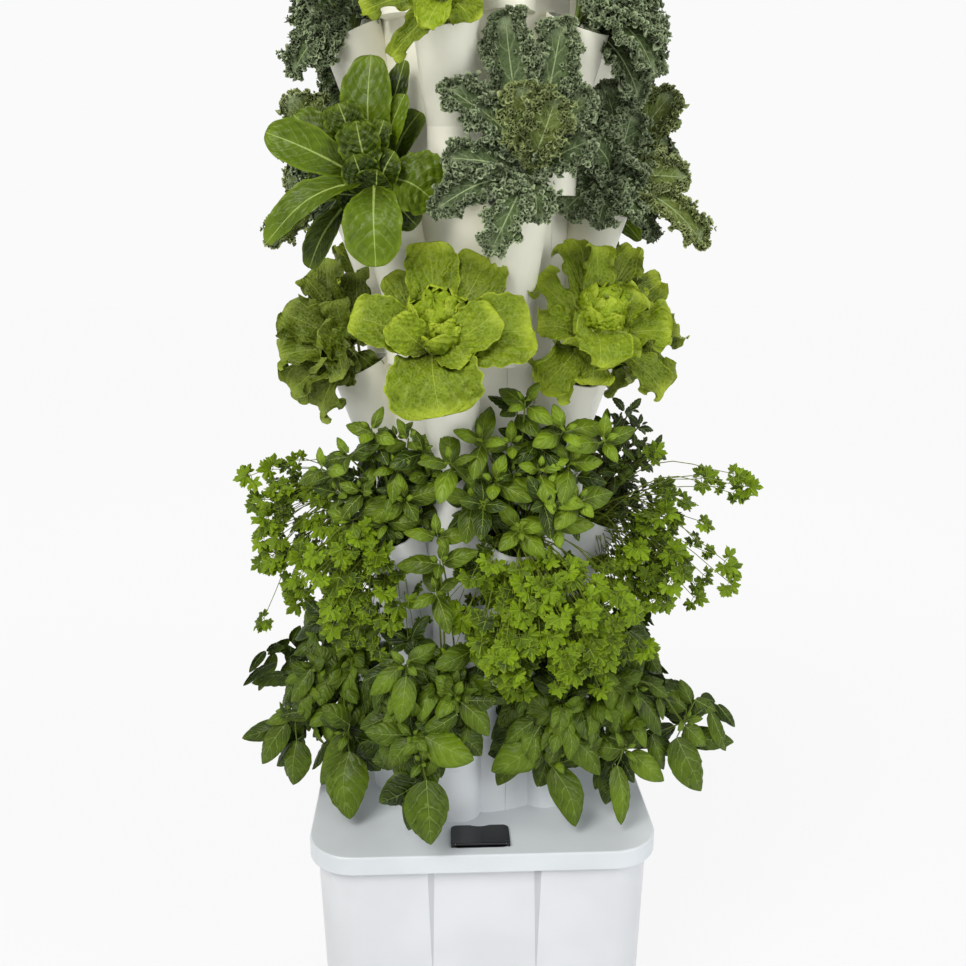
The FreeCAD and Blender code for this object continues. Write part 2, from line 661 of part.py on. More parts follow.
def make_guide():
    """Spider that hangs in the top tier's spigot and carries the riser through the spray head."""
    z = guide_base_z()
    outer = SPIGOT_BORE - TIER_CLEARANCE
    hub_bore = RISER_RADIUS + RISER_CLEARANCE
    hub = ring(hub_bore + GUIDE_HUB_WALL, hub_bore, GUIDE_HEIGHT, vec(0, 0, z))
    rim = ring(outer, outer - GUIDE_RING_WALL, GUIDE_HEIGHT, vec(0, 0, z))
    flange = ring(SPIGOT_RADIUS, outer - GUIDE_RING_WALL, CAP_WALL / 2, vec(0, 0, z + GUIDE_HEIGHT))
    spokes = []
    for index in range(GUIDE_SPOKES):
        spoke = box(hub_bore + GUIDE_HUB_WALL / 2, outer - GUIDE_RING_WALL / 2, -GUIDE_SPOKE_WIDTH / 2,
                    GUIDE_SPOKE_WIDTH / 2, z, z + GUIDE_HEIGHT / 2)
        spokes.append(turned(spoke, index * 360.0 / GUIDE_SPOKES))
    return fused([hub, rim, flange] + spokes)


def make_spray():
    """Flat spray head that rests on the guide's hub and grips the riser."""
    z = spray_base_z()
    bore = RISER_RADIUS + RISER_CLEARANCE
    top = z + SPRAY_HEIGHT
    body = revolved([(bore, z), (bore + GUIDE_HUB_WALL, z), (SPRAY_RADIUS, z + SPRAY_HEIGHT / 2),
                     (SPRAY_RADIUS, top), (0, top), (0, top - SPRAY_WALL),
                     (SPRAY_RADIUS - SPRAY_WALL, top - SPRAY_WALL),
                     (SPRAY_RADIUS - SPRAY_WALL, z + SPRAY_HEIGHT / 2 + SPRAY_WALL / 2),
                     (bore, z + SPRAY_HEIGHT / 2 - SPRAY_WALL)])
    holes = []
    for index in range(SPRAY_HOLES):
        angle = math.radians(index * 360.0 / SPRAY_HOLES)
        start = vec((SPRAY_RADIUS - 2 * SPRAY_WALL) * math.cos(angle),
                    (SPRAY_RADIUS - 2 * SPRAY_WALL) * math.sin(angle), top - 2 * SPRAY_WALL)
        holes.append(cylinder(SPRAY_HOLE_RADIUS, 3 * SPRAY_WALL, start,
                              vec(math.cos(angle), math.sin(angle), 0)))
    return body.cut(Part.makeCompound(holes))


def make_cap():
    """Domed cap with a grip, standing on the top tier around its spigot."""
    z0 = TOWER_TOP_Z
    z1 = z0 + CAP_SIDE_HEIGHT
    top = z1 + CAP_CROWN
    inner = COLUMN_RADIUS - CAP_WALL
    dome_radius = (COLUMN_RADIUS ** 2 + CAP_CROWN ** 2) / (2 * CAP_CROWN)
    side = cylinder(COLUMN_RADIUS, CAP_SIDE_HEIGHT, vec(0, 0, z0))
    ball = Part.makeSphere(dome_radius, vec(0, 0, top - dome_radius))
    dome = ball.common(cylinder(COLUMN_RADIUS, CAP_CROWN, vec(0, 0, z1)))
    hollow = cylinder(inner, CAP_SIDE_HEIGHT - CAP_WALL, vec(0, 0, z0))
    under = Part.makeSphere(dome_radius - CAP_WALL, vec(0, 0, top - dome_radius))
    under = under.common(cylinder(inner, CAP_CROWN + CAP_WALL, vec(0, 0, z1 - CAP_WALL)))
    grip = Part.makeCone(CAP_KNOB_RADIUS - 3.0, CAP_KNOB_RADIUS, CAP_KNOB_HEIGHT, vec(0, 0, top - CAP_WALL))
    return fused([side, dome, grip]).cut(Part.makeCompound([hollow, under]))


# Pump

def pump_base_z():
    return TANK_BASE_Z + TANK_FLOOR + PUMP_LIFT


def pump_outlet_z():
    return pump_base_z() + PUMP_HEIGHT


def pump_split_y():
    """Where the cover meets the body; the front of the pump is the cover's."""
    return -PUMP_LENGTH / 2 + PUMP_COVER_LENGTH


def impeller_axis_z():
    return pump_base_z() + PUMP_HEIGHT / 2


def pump_block():
    z0 = pump_base_z()
    block = box(-PUMP_WIDTH / 2, PUMP_WIDTH / 2, -PUMP_LENGTH / 2, PUMP_LENGTH / 2, z0, z0 + PUMP_HEIGHT)
    return block.makeFillet(PUMP_ROUND, block.Edges)


def impeller_chamber():
    start = pump_split_y()
    return cylinder(IMPELLER_RADIUS + IMPELLER_CLEARANCE, IMPELLER_LENGTH + 2 * IMPELLER_CLEARANCE,
                    vec(0, start, impeller_axis_z()), vec(0, 1, 0))


def make_pump_body():
    reach = PUMP_LENGTH
    behind = box(-reach, reach, pump_split_y(), reach, 0, 4 * reach)
    body = pump_block().common(behind)
    outlet = cylinder(OUTLET_RADIUS, OUTLET_HEIGHT, vec(0, 0, pump_outlet_z()))
    body = fused([body, outlet])
    z = impeller_axis_z()
    channel = cylinder(OUTLET_RADIUS - OUTLET_WALL, pump_outlet_z() + OUTLET_HEIGHT - z, vec(0, 0, z))
    duct = cylinder(OUTLET_RADIUS - OUTLET_WALL, -pump_split_y(), vec(0, pump_split_y(), z), vec(0, 1, 0))
    end = pump_split_y() + IMPELLER_LENGTH + 2 * IMPELLER_CLEARANCE
    pin = cylinder(IMPELLER_BORE - SHAFT_CLEARANCE, end - pump_split_y(), vec(0, pump_split_y(), z),
                   vec(0, 1, 0))
    pin_root = cylinder(2 * IMPELLER_BORE, -end, vec(0, end, z), vec(0, 1, 0))
    web = box(-IMPELLER_BORE, IMPELLER_BORE, end, 0, z - OUTLET_RADIUS, z + 1.0)
    hollow = Part.makeCompound([channel, duct, impeller_chamber()])
    return body.cut(hollow).multiFuse([pin, pin_root, web]).removeSplitter()


def make_pump_cover():
    reach = PUMP_LENGTH
    front = box(-reach, reach, -reach, pump_split_y() - PUMP_GAP, 0, 4 * reach)
    cover = pump_block().common(front)
    z0 = pump_base_z()
    room = box(-PUMP_WIDTH / 2 + PUMP_WALL, PUMP_WIDTH / 2 - PUMP_WALL, -PUMP_LENGTH / 2 + PUMP_WALL,
               pump_split_y(), z0 + PUMP_WALL, z0 + PUMP_HEIGHT - PUMP_WALL)
    cover = cover.cut(room)
    slots = []
    count = 7
    pitch = (PUMP_HEIGHT - 4 * PUMP_WALL) / count
    for index in range(count):
        z = z0 + 2 * PUMP_WALL + (index + 0.5) * pitch
        for side in (-1, 1):
            x = side * (PUMP_WIDTH / 4 - PUMP_WALL / 4)
            half = PUMP_WIDTH / 4 - 2 * PUMP_WALL
            if abs(z - knob_centre().z) > KNOB_RADIUS + PUMP_WALL or side < 0:
                slots.append(box(x - half, x + half, -PUMP_LENGTH / 2 - 1.0, -PUMP_LENGTH / 2 + PUMP_WALL + 1.0,
                                 z - 1.25, z + 1.25))
    spot = knob_centre()
    stem_hole = cylinder(KNOB_STEM_RADIUS + SHAFT_CLEARANCE, 2 * PUMP_WALL,
                         vec(spot.x, -PUMP_LENGTH / 2 - PUMP_WALL / 2, spot.z), vec(0, 1, 0))
    return cover.cut(Part.makeCompound(slots + [stem_hole]))


def knob_centre():
    """Centre of the flow regulator's axis on the cover's face."""
    return vec(PUMP_WIDTH / 4, -PUMP_LENGTH / 2, pump_base_z() + PUMP_HEIGHT / 2)


def make_knob():
    """Flow regulator: a grip with a pointer slot and a stem through the cover."""
    spot = knob_centre()
    way = vec(0, 1, 0)
    grip_start = spot.y - PUMP_GAP - KNOB_LENGTH
    grip = cylinder(KNOB_RADIUS, KNOB_LENGTH, vec(spot.x, grip_start, spot.z), way)
    slot = box(spot.x - 1.0, spot.x + 1.0, grip_start, grip_start + 2.0, spot.z, spot.z + KNOB_RADIUS)
    stem = cylinder(KNOB_STEM_RADIUS, PUMP_GAP + PUMP_WALL + 2.0, vec(spot.x, spot.y - PUMP_GAP, spot.z), way)
    return fused([grip.cut(slot), stem])


def make_impeller():
    start = pump_split_y() + IMPELLER_CLEARANCE
    z = impeller_axis_z()
    way = vec(0, 1, 0)
    base = vec(0, start, z)
    hub = cylinder(IMPELLER_HUB_RADIUS, IMPELLER_LENGTH, base, way)
    disc = cylinder(IMPELLER_RADIUS, 2.0, vec(0, start + IMPELLER_LENGTH - 2.0, z), way)
    blades = []
    for index in range(IMPELLER_BLADES):
        blade = box(IMPELLER_HUB_RADIUS - 1.0, IMPELLER_RADIUS - 0.5, start, start + IMPELLER_LENGTH,
                    z - 0.8, z + 0.8)
        blade.rotate(base, way, index * 360.0 / IMPELLER_BLADES)
        blades.append(blade)
    bore = cylinder(IMPELLER_BORE, IMPELLER_LENGTH, base, way)
    return fused([hub, disc] + blades).cut(bore)


def make_suckers():
    feet = []
    floor = TANK_BASE_Z + TANK_FLOOR
    for sx in (-1, 1):
        for y in (-PUMP_LENGTH / 2 + 2 * PUMP_ROUND + PUMP_COVER_LENGTH, PUMP_LENGTH / 2 - 2 * PUMP_ROUND):
            x = sx * (PUMP_WIDTH / 2 - 2 * PUMP_ROUND)
            foot = Part.makeCone(SUCKER_RADIUS, SUCKER_RADIUS / 2, PUMP_LIFT, vec(x, y, floor))
            feet.append(foot)
    return feet


def make_coupling():
    """Sleeve over the pump's outlet that takes the foot of the riser."""
    z0 = pump_outlet_z() + PUMP_GAP
    stop = riser_bottom_z() - COUPLING_STOP
    top = riser_bottom_z() + RISER_SOCKET_DEPTH
    outer = RISER_RADIUS + RISER_SLIP + COUPLING_WALL
    lower_bore = OUTLET_RADIUS + RISER_CLEARANCE
    throat = OUTLET_RADIUS - OUTLET_WALL
    upper_bore = RISER_RADIUS + RISER_SLIP
    return revolved([(lower_bore, z0), (outer, z0), (outer, top), (upper_bore, top),
                     (upper_bore, riser_bottom_z()), (throat, riser_bottom_z()), (throat, stop),
                     (lower_bore, stop)])


# Assembly

def solids_of(shape):
    return shape if isinstance(shape, list) else [shape]


def at_pocket(shape, tier, pocket):
    """A front pocket's piece, turned and lifted to its own pocket."""
    return moved(turned(shape, pocket_angle(tier, pocket)), z=tier_base(tier))


def build():
    nodes = {
        "tank": make_tank(),
        "rubber_feet": make_feet(),
        "cable_grommet": make_grommet(),
        "lid_gasket": make_gasket(),
        "tank_lid": make_lid(),
        "hatch_frame": make_hatch_frame(),
        "hatch_hinge_pin": make_hinge_pin(),
        "fill_hatch": make_hatch_flap(),
        "tower_socket": make_socket(),
        "riser_pipe": make_riser(),
        "riser_guide": make_guide(),
        "spray_head": make_spray(),
        "top_cap": make_cap(),
        "pump_body": make_pump_body(),
        "pump_cover": make_pump_cover(),
        "pump_impeller": make_impeller(),
        "pump_flow_knob": make_knob(),
        "pump_suction_feet": make_suckers(),
        "riser_coupling": make_coupling(),
    }
    halves = split_tier(make_tier())
    cup = make_cup()
    plug = make_plug()
    plants = {kind: make_plant(kind) for kind in CROWNS}
    for tier in range(1, TIERS + 1):
        for half, letter in zip(halves, "ab"):
            nodes["tier_%d_half_%s" % (tier, letter)] = moved(turned(half, tier_turn(tier)), z=tier_base(tier))
        kinds = PLANTING[tier - 1]
        cups = [at_pocket(cup, tier, k) for k in range(POCKETS)]
        plugs = [at_pocket(plug, tier, k) for k in range(POCKETS)]
        crowns = [at_pocket(plants[kinds[k % len(kinds)]], tier, k) for k in range(POCKETS)]
        if tier < TIERS:
            nodes["net_cups_tier_%d" % tier] = cups
            nodes["grow_plugs_tier_%d" % tier] = plugs
            nodes["plants_tier_%d" % tier] = crowns
        else:
            for k in range(POCKETS):
                nodes["net_cup_%d_%d" % (tier, k + 1)] = cups[k]
                nodes["plug_and_plant_%d_%d" % (tier, k + 1)] = [plugs[k], crowns[k]]
    return nodes


def export(nodes):
    os.makedirs("parts", exist_ok=True)
    for name, shape in nodes.items():
        pieces = solids_of(shape)
        solids = [s for piece in pieces for s in piece.Solids]
        whole = solids[0] if len(solids) == 1 else Part.makeCompound(solids)
        whole.exportStep("parts/%s.step" % name)
        print("%-22s %2d solid(s) %10.1f cm3" % (name, len(solids), whole.Volume / 1000.0))


export(build())
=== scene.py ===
# %% [markdown]
# # Vertical planter tower
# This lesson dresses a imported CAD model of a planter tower: a fluted white
# column of stacked tiers with six tilted pockets each, on a lidded square tank.
# The hard parts come from the CAD model and only get their finishes here. The
# plants are built leaf by leaf, because their look is all in the leaves.

# %% Load the frame
import bpy
import json
import math
import numpy as np
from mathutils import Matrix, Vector


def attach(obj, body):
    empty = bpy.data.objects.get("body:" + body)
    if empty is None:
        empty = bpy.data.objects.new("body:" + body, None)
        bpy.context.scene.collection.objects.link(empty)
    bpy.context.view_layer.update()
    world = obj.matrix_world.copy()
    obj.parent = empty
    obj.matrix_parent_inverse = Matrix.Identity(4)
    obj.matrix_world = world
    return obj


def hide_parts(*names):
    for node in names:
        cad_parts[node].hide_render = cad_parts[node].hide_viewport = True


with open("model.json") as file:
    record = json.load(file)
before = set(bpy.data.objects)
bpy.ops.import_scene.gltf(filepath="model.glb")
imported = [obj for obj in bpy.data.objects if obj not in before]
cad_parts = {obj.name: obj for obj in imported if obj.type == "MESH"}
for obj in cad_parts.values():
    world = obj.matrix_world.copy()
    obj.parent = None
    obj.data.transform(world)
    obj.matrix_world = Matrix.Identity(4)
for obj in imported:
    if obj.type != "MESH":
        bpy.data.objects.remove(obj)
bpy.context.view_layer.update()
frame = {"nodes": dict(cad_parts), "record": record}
nodes = frame["nodes"]
scene = bpy.context.scene
scene.view_settings.view_transform = "Standard"

# %% [markdown]
# ## Camera
# The tower is seen from a little above its middle, in a picture that cuts off
# its top and the lower half of its tank. A camera could be placed by eye, but
# the rims of the pockets flatten differently at each height, which gives its
# place away. So place, lens and tilt were fitted to the rims and the lid.

# %% Camera
LENS_MM, SENSOR_MM = 39.94, 36.0
CAMERA_PLACE = (-0.0550, -1.4199, 1.0902)
LOOKING_DOWN, TURNED_ASIDE = 13.24, -2.51

camera_data = bpy.data.cameras.new("camera")
camera_data.lens = LENS_MM
camera_data.sensor_width = SENSOR_MM
camera_data.clip_end = 50.0
camera = bpy.data.objects.new("camera", camera_data)
camera.location = CAMERA_PLACE
camera.rotation_euler = (math.radians(90.0 - LOOKING_DOWN), 0.0, math.radians(TURNED_ASIDE))
scene.collection.objects.link(camera)
scene.camera = camera
print("camera at", CAMERA_PLACE, "lens", LENS_MM, "mm")


# %% [markdown]
# ## Colours and shader nodes
# Every finish below is a small tree of nodes. Written out, a tree is mostly
# boxes and wires, and the idea gets lost. A helper with one short method for
# each kind of box keeps a finish readable: each line says what goes into what.

# %% Colours
def srgb(r, g, b):
    """A colour read off with a picker, 0 to 255, as linear values."""
    values = [c / 255.0 for c in (r, g, b)]
    linear = [c / 12.92 if c <= 0.04045 else ((c + 0.055) / 1.055) ** 2.4 for c in values]
    return (*linear, 1.0)


def grey(value):
    """A grey of one linear value."""
    return (value, value, value, 1.0)


def deep(colour, share):
    """The same colour, darker."""
    return tuple(c * share for c in colour[:3]) + (1.0,)


# %% Node helper
class Nodes:
    """Short names for the few things a node tree needs."""

    def __init__(self, tree):
        self.tree = tree

    def add(self, kind, **settings):
        node = self.tree.nodes.new(kind)
        for key, value in settings.items():
            setattr(node, key, value)
        return node

    def link(self, source, target):
        self.tree.links.new(source, target)

    def put(self, value, socket):
        """Links another node's output to a socket, or writes a plain number into it."""
        if isinstance(value, bpy.types.NodeSocket):
            self.link(value, socket)
        else:
            socket.default_value = value

    def math(self, operation, a, b=0.0, c=0.0, clamp=False):
        node = self.add("ShaderNodeMath", operation=operation, use_clamp=clamp)
        for value, socket in zip((a, b, c), node.inputs):
            self.put(value, socket)
        return node.outputs[0]

    def ramp(self, value, low, high, to_low=0.0, to_high=1.0):
        """A soft step from to_low to to_high, while value goes from low to high."""
        node = self.add("ShaderNodeMapRange", interpolation_type="SMOOTHSTEP")
        for v, socket in zip((value, low, high, to_low, to_high), node.inputs):
            self.put(v, socket)
        return node.outputs[0]

    def mix(self, share, a, b):
        """Colour a turned into colour b by a share."""
        node = self.add("ShaderNodeMix", data_type="RGBA")
        self.put(share, node.inputs[0])
        self.put(a, node.inputs[6])
        self.put(b, node.inputs[7])
        return node.outputs[2]

    def noise(self, scale, detail, where, rough=0.5):
        node = self.add("ShaderNodeTexNoise")
        node.inputs["Scale"].default_value = scale
        node.inputs["Detail"].default_value = detail
        node.inputs["Roughness"].default_value = rough
        self.link(where, node.inputs["Vector"])
        return node.outputs["Fac"]

    def split(self, vector):
        """The three numbers of a vector."""
        node = self.add("ShaderNodeSeparateXYZ")
        self.link(vector, node.inputs[0])
        return node.outputs

    def read(self, name):
        """The three numbers that the mesh keeps under a name."""
        return self.split(self.add("ShaderNodeAttribute", attribute_name=name).outputs["Vector"])

    def object_coordinates(self):
        return self.add("ShaderNodeTexCoord").outputs["Object"]

    def bump(self, height, strength, distance):
        """A fine relief that only bends the light."""
        node = self.add("ShaderNodeBump")
        node.inputs["Strength"].default_value = strength
        node.inputs["Distance"].default_value = distance
        self.link(height, node.inputs["Height"])
        return node.outputs["Normal"]


def new_material(name, roughness, specular=0.5):
    """A material with an empty Principled shader; returns it, its helper and the shader."""
    material = bpy.data.materials.new(name)
    material.use_nodes = True
    helper = Nodes(material.node_tree)
    shader = material.node_tree.nodes["Principled BSDF"]
    shader.inputs["Roughness"].default_value = roughness
    shader.inputs["Specular IOR Level"].default_value = specular
    return material, helper, shader


# %% [markdown]
# ## A white studio
# The tower stands before a plain, nearly white background. More lamp light would
# make the background white too, but it would bleach the white plastic. So the
# background is white only where it is looked at, directly, in a mirror or
# through glass. All other rays get the soft, weaker light of a room.

# %% World
ROOM_LIGHT, BACKGROUND = 0.50, 0.955


def looked_at(n):
    """1 for rays that look at the background: straight, in a mirror or through glass."""
    rays = n.add("ShaderNodeLightPath").outputs
    seen = n.math("ADD", rays["Is Camera Ray"], rays["Is Glossy Ray"], clamp=True)
    return n.math("ADD", seen, rays["Is Transmission Ray"], clamp=True)


def choose(n, share, first, second, output):
    """Mixes two shaders by share and connects them to the tree's output."""
    mixer = n.add("ShaderNodeMixShader")
    for value, socket in zip((share, first.outputs[0], second.outputs[0]), mixer.inputs):
        n.link(value, socket)
    n.link(mixer.outputs[0], n.add(output).inputs["Surface"])


world = bpy.data.worlds.new("studio")
scene.world = world
world.use_nodes = True
world.node_tree.nodes.clear()
w = Nodes(world.node_tree)
soft_light = w.add("ShaderNodeBackground")
soft_light.inputs["Color"].default_value = (0.98, 0.99, 1.0, 1.0)
soft_light.inputs["Strength"].default_value = ROOM_LIGHT
white = w.add("ShaderNodeBackground")
white.inputs["Color"].default_value = grey(BACKGROUND)
white.inputs["Strength"].default_value = 1.0
choose(w, looked_at(w), soft_light, white, "ShaderNodeOutputWorld")
print("room light", ROOM_LIGHT, "background", BACKGROUND)

# %% [markdown]
# ## Floor
# The floor is the same white, yet the tank has to stand on something. A floor
# that only glows would lose the shadow, and one that only scatters light would
# be grey. This one does a share of each: it scatters a little near the tank,
# where the shadow falls, and hardly at all further away.

# %% Floor
FLOOR_GLOW = 0.965
SHADOW_NEAR, SHADOW_FAR = 0.5, 2.5
GLOW_NEAR, GLOW_FAR = 0.88, 0.975

bpy.ops.mesh.primitive_plane_add(size=30.0, location=(0.0, 0.0, 0.0))
floor = bpy.context.object
floor.name = "floor"
floor_material = bpy.data.materials.new("pale_floor")
floor_material.use_nodes = True
floor_material.node_tree.nodes.clear()
f = Nodes(floor_material.node_tree)
diffuse = f.add("ShaderNodeBsdfDiffuse")
diffuse.inputs["Color"].default_value = (0.86, 0.86, 0.87, 1.0)
glow = f.add("ShaderNodeEmission")
glow.inputs["Color"].default_value = grey(FLOOR_GLOW)
away = f.add("ShaderNodeVectorMath", operation="LENGTH")
f.link(f.object_coordinates(), away.inputs[0])
glow_share = f.ramp(away.outputs["Value"], SHADOW_NEAR, SHADOW_FAR, GLOW_NEAR, GLOW_FAR)
choose(f, f.math("MULTIPLY", looked_at(f), glow_share), diffuse, glow, "ShaderNodeOutputMaterial")
floor.data.materials.append(floor_material)
print("floor:", floor.name)


# %% [markdown]
# ## Lamps
# The light is soft and comes from the upper left: the flutes are shaded gently
# and the leaves throw blurred shadows on each other. One big lamp gives that, a
# second opens the shadows on the right, and a third lights the edges from behind.
# Their powers are low enough that the white plastic keeps its shading.

# %% Lamps
def lamp(name, place, target, size, power, colour=(1.0, 1.0, 1.0)):
    """A soft square lamp at place that faces target."""
    data = bpy.data.lights.new(name, "AREA")
    data.shape = "SQUARE"
    data.size = size
    data.energy = power
    data.color = colour
    obj = bpy.data.objects.new(name, data)
    obj.location = place
    obj.rotation_euler = (Vector(target) - Vector(place)).to_track_quat("-Z", "Y").to_euler()
    scene.collection.objects.link(obj)
    print("lamp", name, power, "W")


lamp("key", (-1.6, -2.6, 3.4), (0.0, 0.0, 0.9), 1.8, 104.0, (1.0, 0.985, 0.95))
lamp("fill", (2.4, -2.2, 1.6), (0.0, 0.0, 0.8), 2.2, 38.0, (0.97, 0.985, 1.0))
lamp("rear", (0.4, 2.6, 2.6), (0.0, 0.0, 0.9), 2.0, 36.0)


# %% [markdown]
# ## Moulded plastic
# The tiers are moulded plastic: smooth, satin, off-white and slightly warm.
# Their colour turns cooler towards the foot, which is painted bounce light: the
# green-warm light that the plants throw back onto the upper tiers. The lid and
# tank are a cooler white. A moulded wall is never a flat colour: it carries a
# faint cloudiness, very fine grain and slightly uneven gloss, which three noise
# scales give. The colours sit well below white, so that soft light can still
# model the flutes.

# %% Plastic
BOUNCE_TINT_HEIGHTS = (0.55, 1.0)
PANEL_HALF_WIDTHS = (0.10, 0.13)
SLOPE_SHADE = srgb(120, 124, 128)
CLOUD_SHADE, GRAIN = 0.94, 0.2


def painted_bounce_tint(n, where, colour, foot):
    """Painted bounce light: the colour turned to a cooler one towards the foot of the tower."""
    return n.mix(n.ramp(n.split(where)[2], *BOUNCE_TINT_HEIGHTS, 1.0, 0.0), colour, foot)


def slope_painted_shade(n, where, colour, slopes):
    """The colour with painted shade on the slanted steps beside the tank's panel."""
    facing = n.split(n.add("ShaderNodeNewGeometry").outputs["Normal"])
    slanted = n.math("ABSOLUTE", n.math("MULTIPLY", facing[0], facing[1]))
    near = n.ramp(n.math("ABSOLUTE", n.split(where)[0]), *PANEL_HALF_WIDTHS, slopes, 0.0)
    return n.mix(n.math("MULTIPLY", n.ramp(slanted, 0.10, 0.30), near), colour, SLOPE_SHADE)


def plastic(name, colour, roughness, bump=0.15, slopes=0.0, foot=None):
    """Moulded plastic with clouds, grain and uneven gloss; foot paints bounce light, slopes paint shade."""
    material, n, shader = new_material(name, roughness)
    where = n.object_coordinates()
    slow = n.ramp(n.noise(9.0, 2.0, where), 0.35, 0.65)
    colour = n.mix(slow, colour, deep(colour, CLOUD_SHADE))
    # painted bounce light: warm high up among the plants, cooler towards the foot
    if foot:
        colour = painted_bounce_tint(n, where, colour, foot)
    # painted shade on the slanted steps beside the tank's panel
    if slopes:
        colour = slope_painted_shade(n, where, colour, slopes)
    n.link(colour, shader.inputs["Base Color"])
    fine = n.noise(900.0, 2.0, where)
    uneven = n.noise(30.0, 3.0, where)
    n.link(n.math("MULTIPLY_ADD", uneven, 0.12, roughness - 0.06), shader.inputs["Roughness"])
    height = n.math("MULTIPLY_ADD", fine, GRAIN, uneven)
    n.link(n.bump(height, bump, 0.0003), shader.inputs["Normal"])
    return material


# %% Plastics and rubbers
PLASTICS = {
    # foot: the cool end of the painted bounce light, low on the tower
    "tower_plastic": (srgb(240, 238, 220), 0.38, {"foot": srgb(222, 226, 229)}),
    # slopes: how strong the painted shade on the panel's steps is
    "tank_plastic": (srgb(216, 218, 221), 0.34, {"slopes": 0.3}),
    "lid_plastic": (srgb(212, 217, 220), 0.36, {}),
    "black_gloss": (srgb(10, 11, 12), 0.24, {"bump": 0.05}),
    "black_matte": (srgb(38, 39, 40), 0.6, {}),
    "impeller_plastic": (srgb(210, 210, 206), 0.5, {}),
    "cup_plastic": (srgb(24, 24, 24), 0.5, {}),
    "riser_plastic": (srgb(236, 236, 233), 0.35, {}),
    "foot_rubber": (srgb(48, 48, 48), 0.8, {"bump": 0.3}),
    "seal_rubber": (srgb(70, 70, 72), 0.75, {"bump": 0.3}),
}
finishes = {name: plastic(name, colour, roughness, **more)
            for name, (colour, roughness, more) in PLASTICS.items()}
print("plastics and rubbers:", len(finishes))

# %% [markdown]
# ## Steel and sponge
# The hatch turns on a drawn steel pin, and the plants grow in plugs of brown
# sponge. The pin is plain metal in two close greys. The sponge is matte, with a
# strong relief of fibres in two browns of its own; the darker brown sits in the
# hollows of that relief, which is painted shade.

# %% Steel and sponge
steel, n, shader = new_material("steel_pin", 0.35)
shader.inputs["Metallic"].default_value = 1.0
drawn = n.ramp(n.noise(400.0, 2.0, n.object_coordinates()), 0.3, 0.7)
n.link(n.mix(drawn, srgb(190, 190, 190), srgb(150, 150, 152)), shader.inputs["Base Color"])
finishes["steel_pin"] = steel

sponge, n, shader = new_material("grow_medium", 0.95, 0.2)
fibres = n.noise(420.0, 6.0, n.object_coordinates(), 0.7)
# painted shade: the darker brown falls where the fibre relief is low
n.link(n.mix(n.ramp(fibres, 0.4, 0.65), srgb(40, 29, 20), srgb(92, 70, 48)), shader.inputs["Base Color"])
n.link(n.bump(fibres, 1.0, 0.004), shader.inputs["Normal"])
finishes["grow_medium"] = sponge
print("finishes:", len(finishes))

# %% [markdown]
# ## Finishes on the hard parts
# The CAD model names one material slot for each of its parts. Giving each part
# the finish of the same name keeps the two together, and a part whose slot has
# no finish here is a plant, which the leaves further down stand for.

# %% Hand out the finishes
slot_of = {s["node"]: s["material_slot"] for s in frame["record"]["subparts"]}
for name, node in nodes.items():
    finish = finishes.get(slot_of[name])
    if finish is not None:
        node.data.materials.clear()
        node.data.materials.append(finish)
print("hard parts finished:", sum(slot_of[name] in finishes for name in nodes))


# %% [markdown]
# ## The mesh of a plant
# A plant is many leaves and stems, thousands of small sheets. An object for each
# would be slow to make and to keep, so all sheets of a plant are collected as
# grids of points and become one mesh. Each point also keeps where it is on its
# leaf and how bright the leaf is, for the material to read.

# %% Curves and directions
FULL_TURN = 6.283


def smooth_path(points, steps):
    """A curve through a few points, with steps pieces between each pair."""
    p = np.asarray(points, float)
    if len(p) == 2:
        return p[0] + np.linspace(0, 1, steps + 1)[:, None] * (p[1] - p[0])
    ends = np.concatenate([[2 * p[0] - p[1]], p, [2 * p[-1] - p[-2]]])
    out = []
    for i in range(len(p) - 1):
        a, b, c, d = ends[i:i + 4]
        for t in np.arange(steps) / steps:
            out.append(0.5 * (2 * b + (c - a) * t + (2 * a - 5 * b + 4 * c - d) * t * t
                              + (3 * b - a - 3 * c + d) * t ** 3))
    out.append(p[-1])
    return np.array(out)


def unit(v):
    v = np.asarray(v, float)
    return v / max(1e-9, np.linalg.norm(v))


def unit_rows(rows):
    """The same directions, each made one long."""
    return rows / np.maximum(1e-9, np.linalg.norm(rows, axis=1, keepdims=True))


def any_angle(rng, shape=None):
    """Random angles anywhere on a circle."""
    return rng.uniform(0, 6.28, shape)


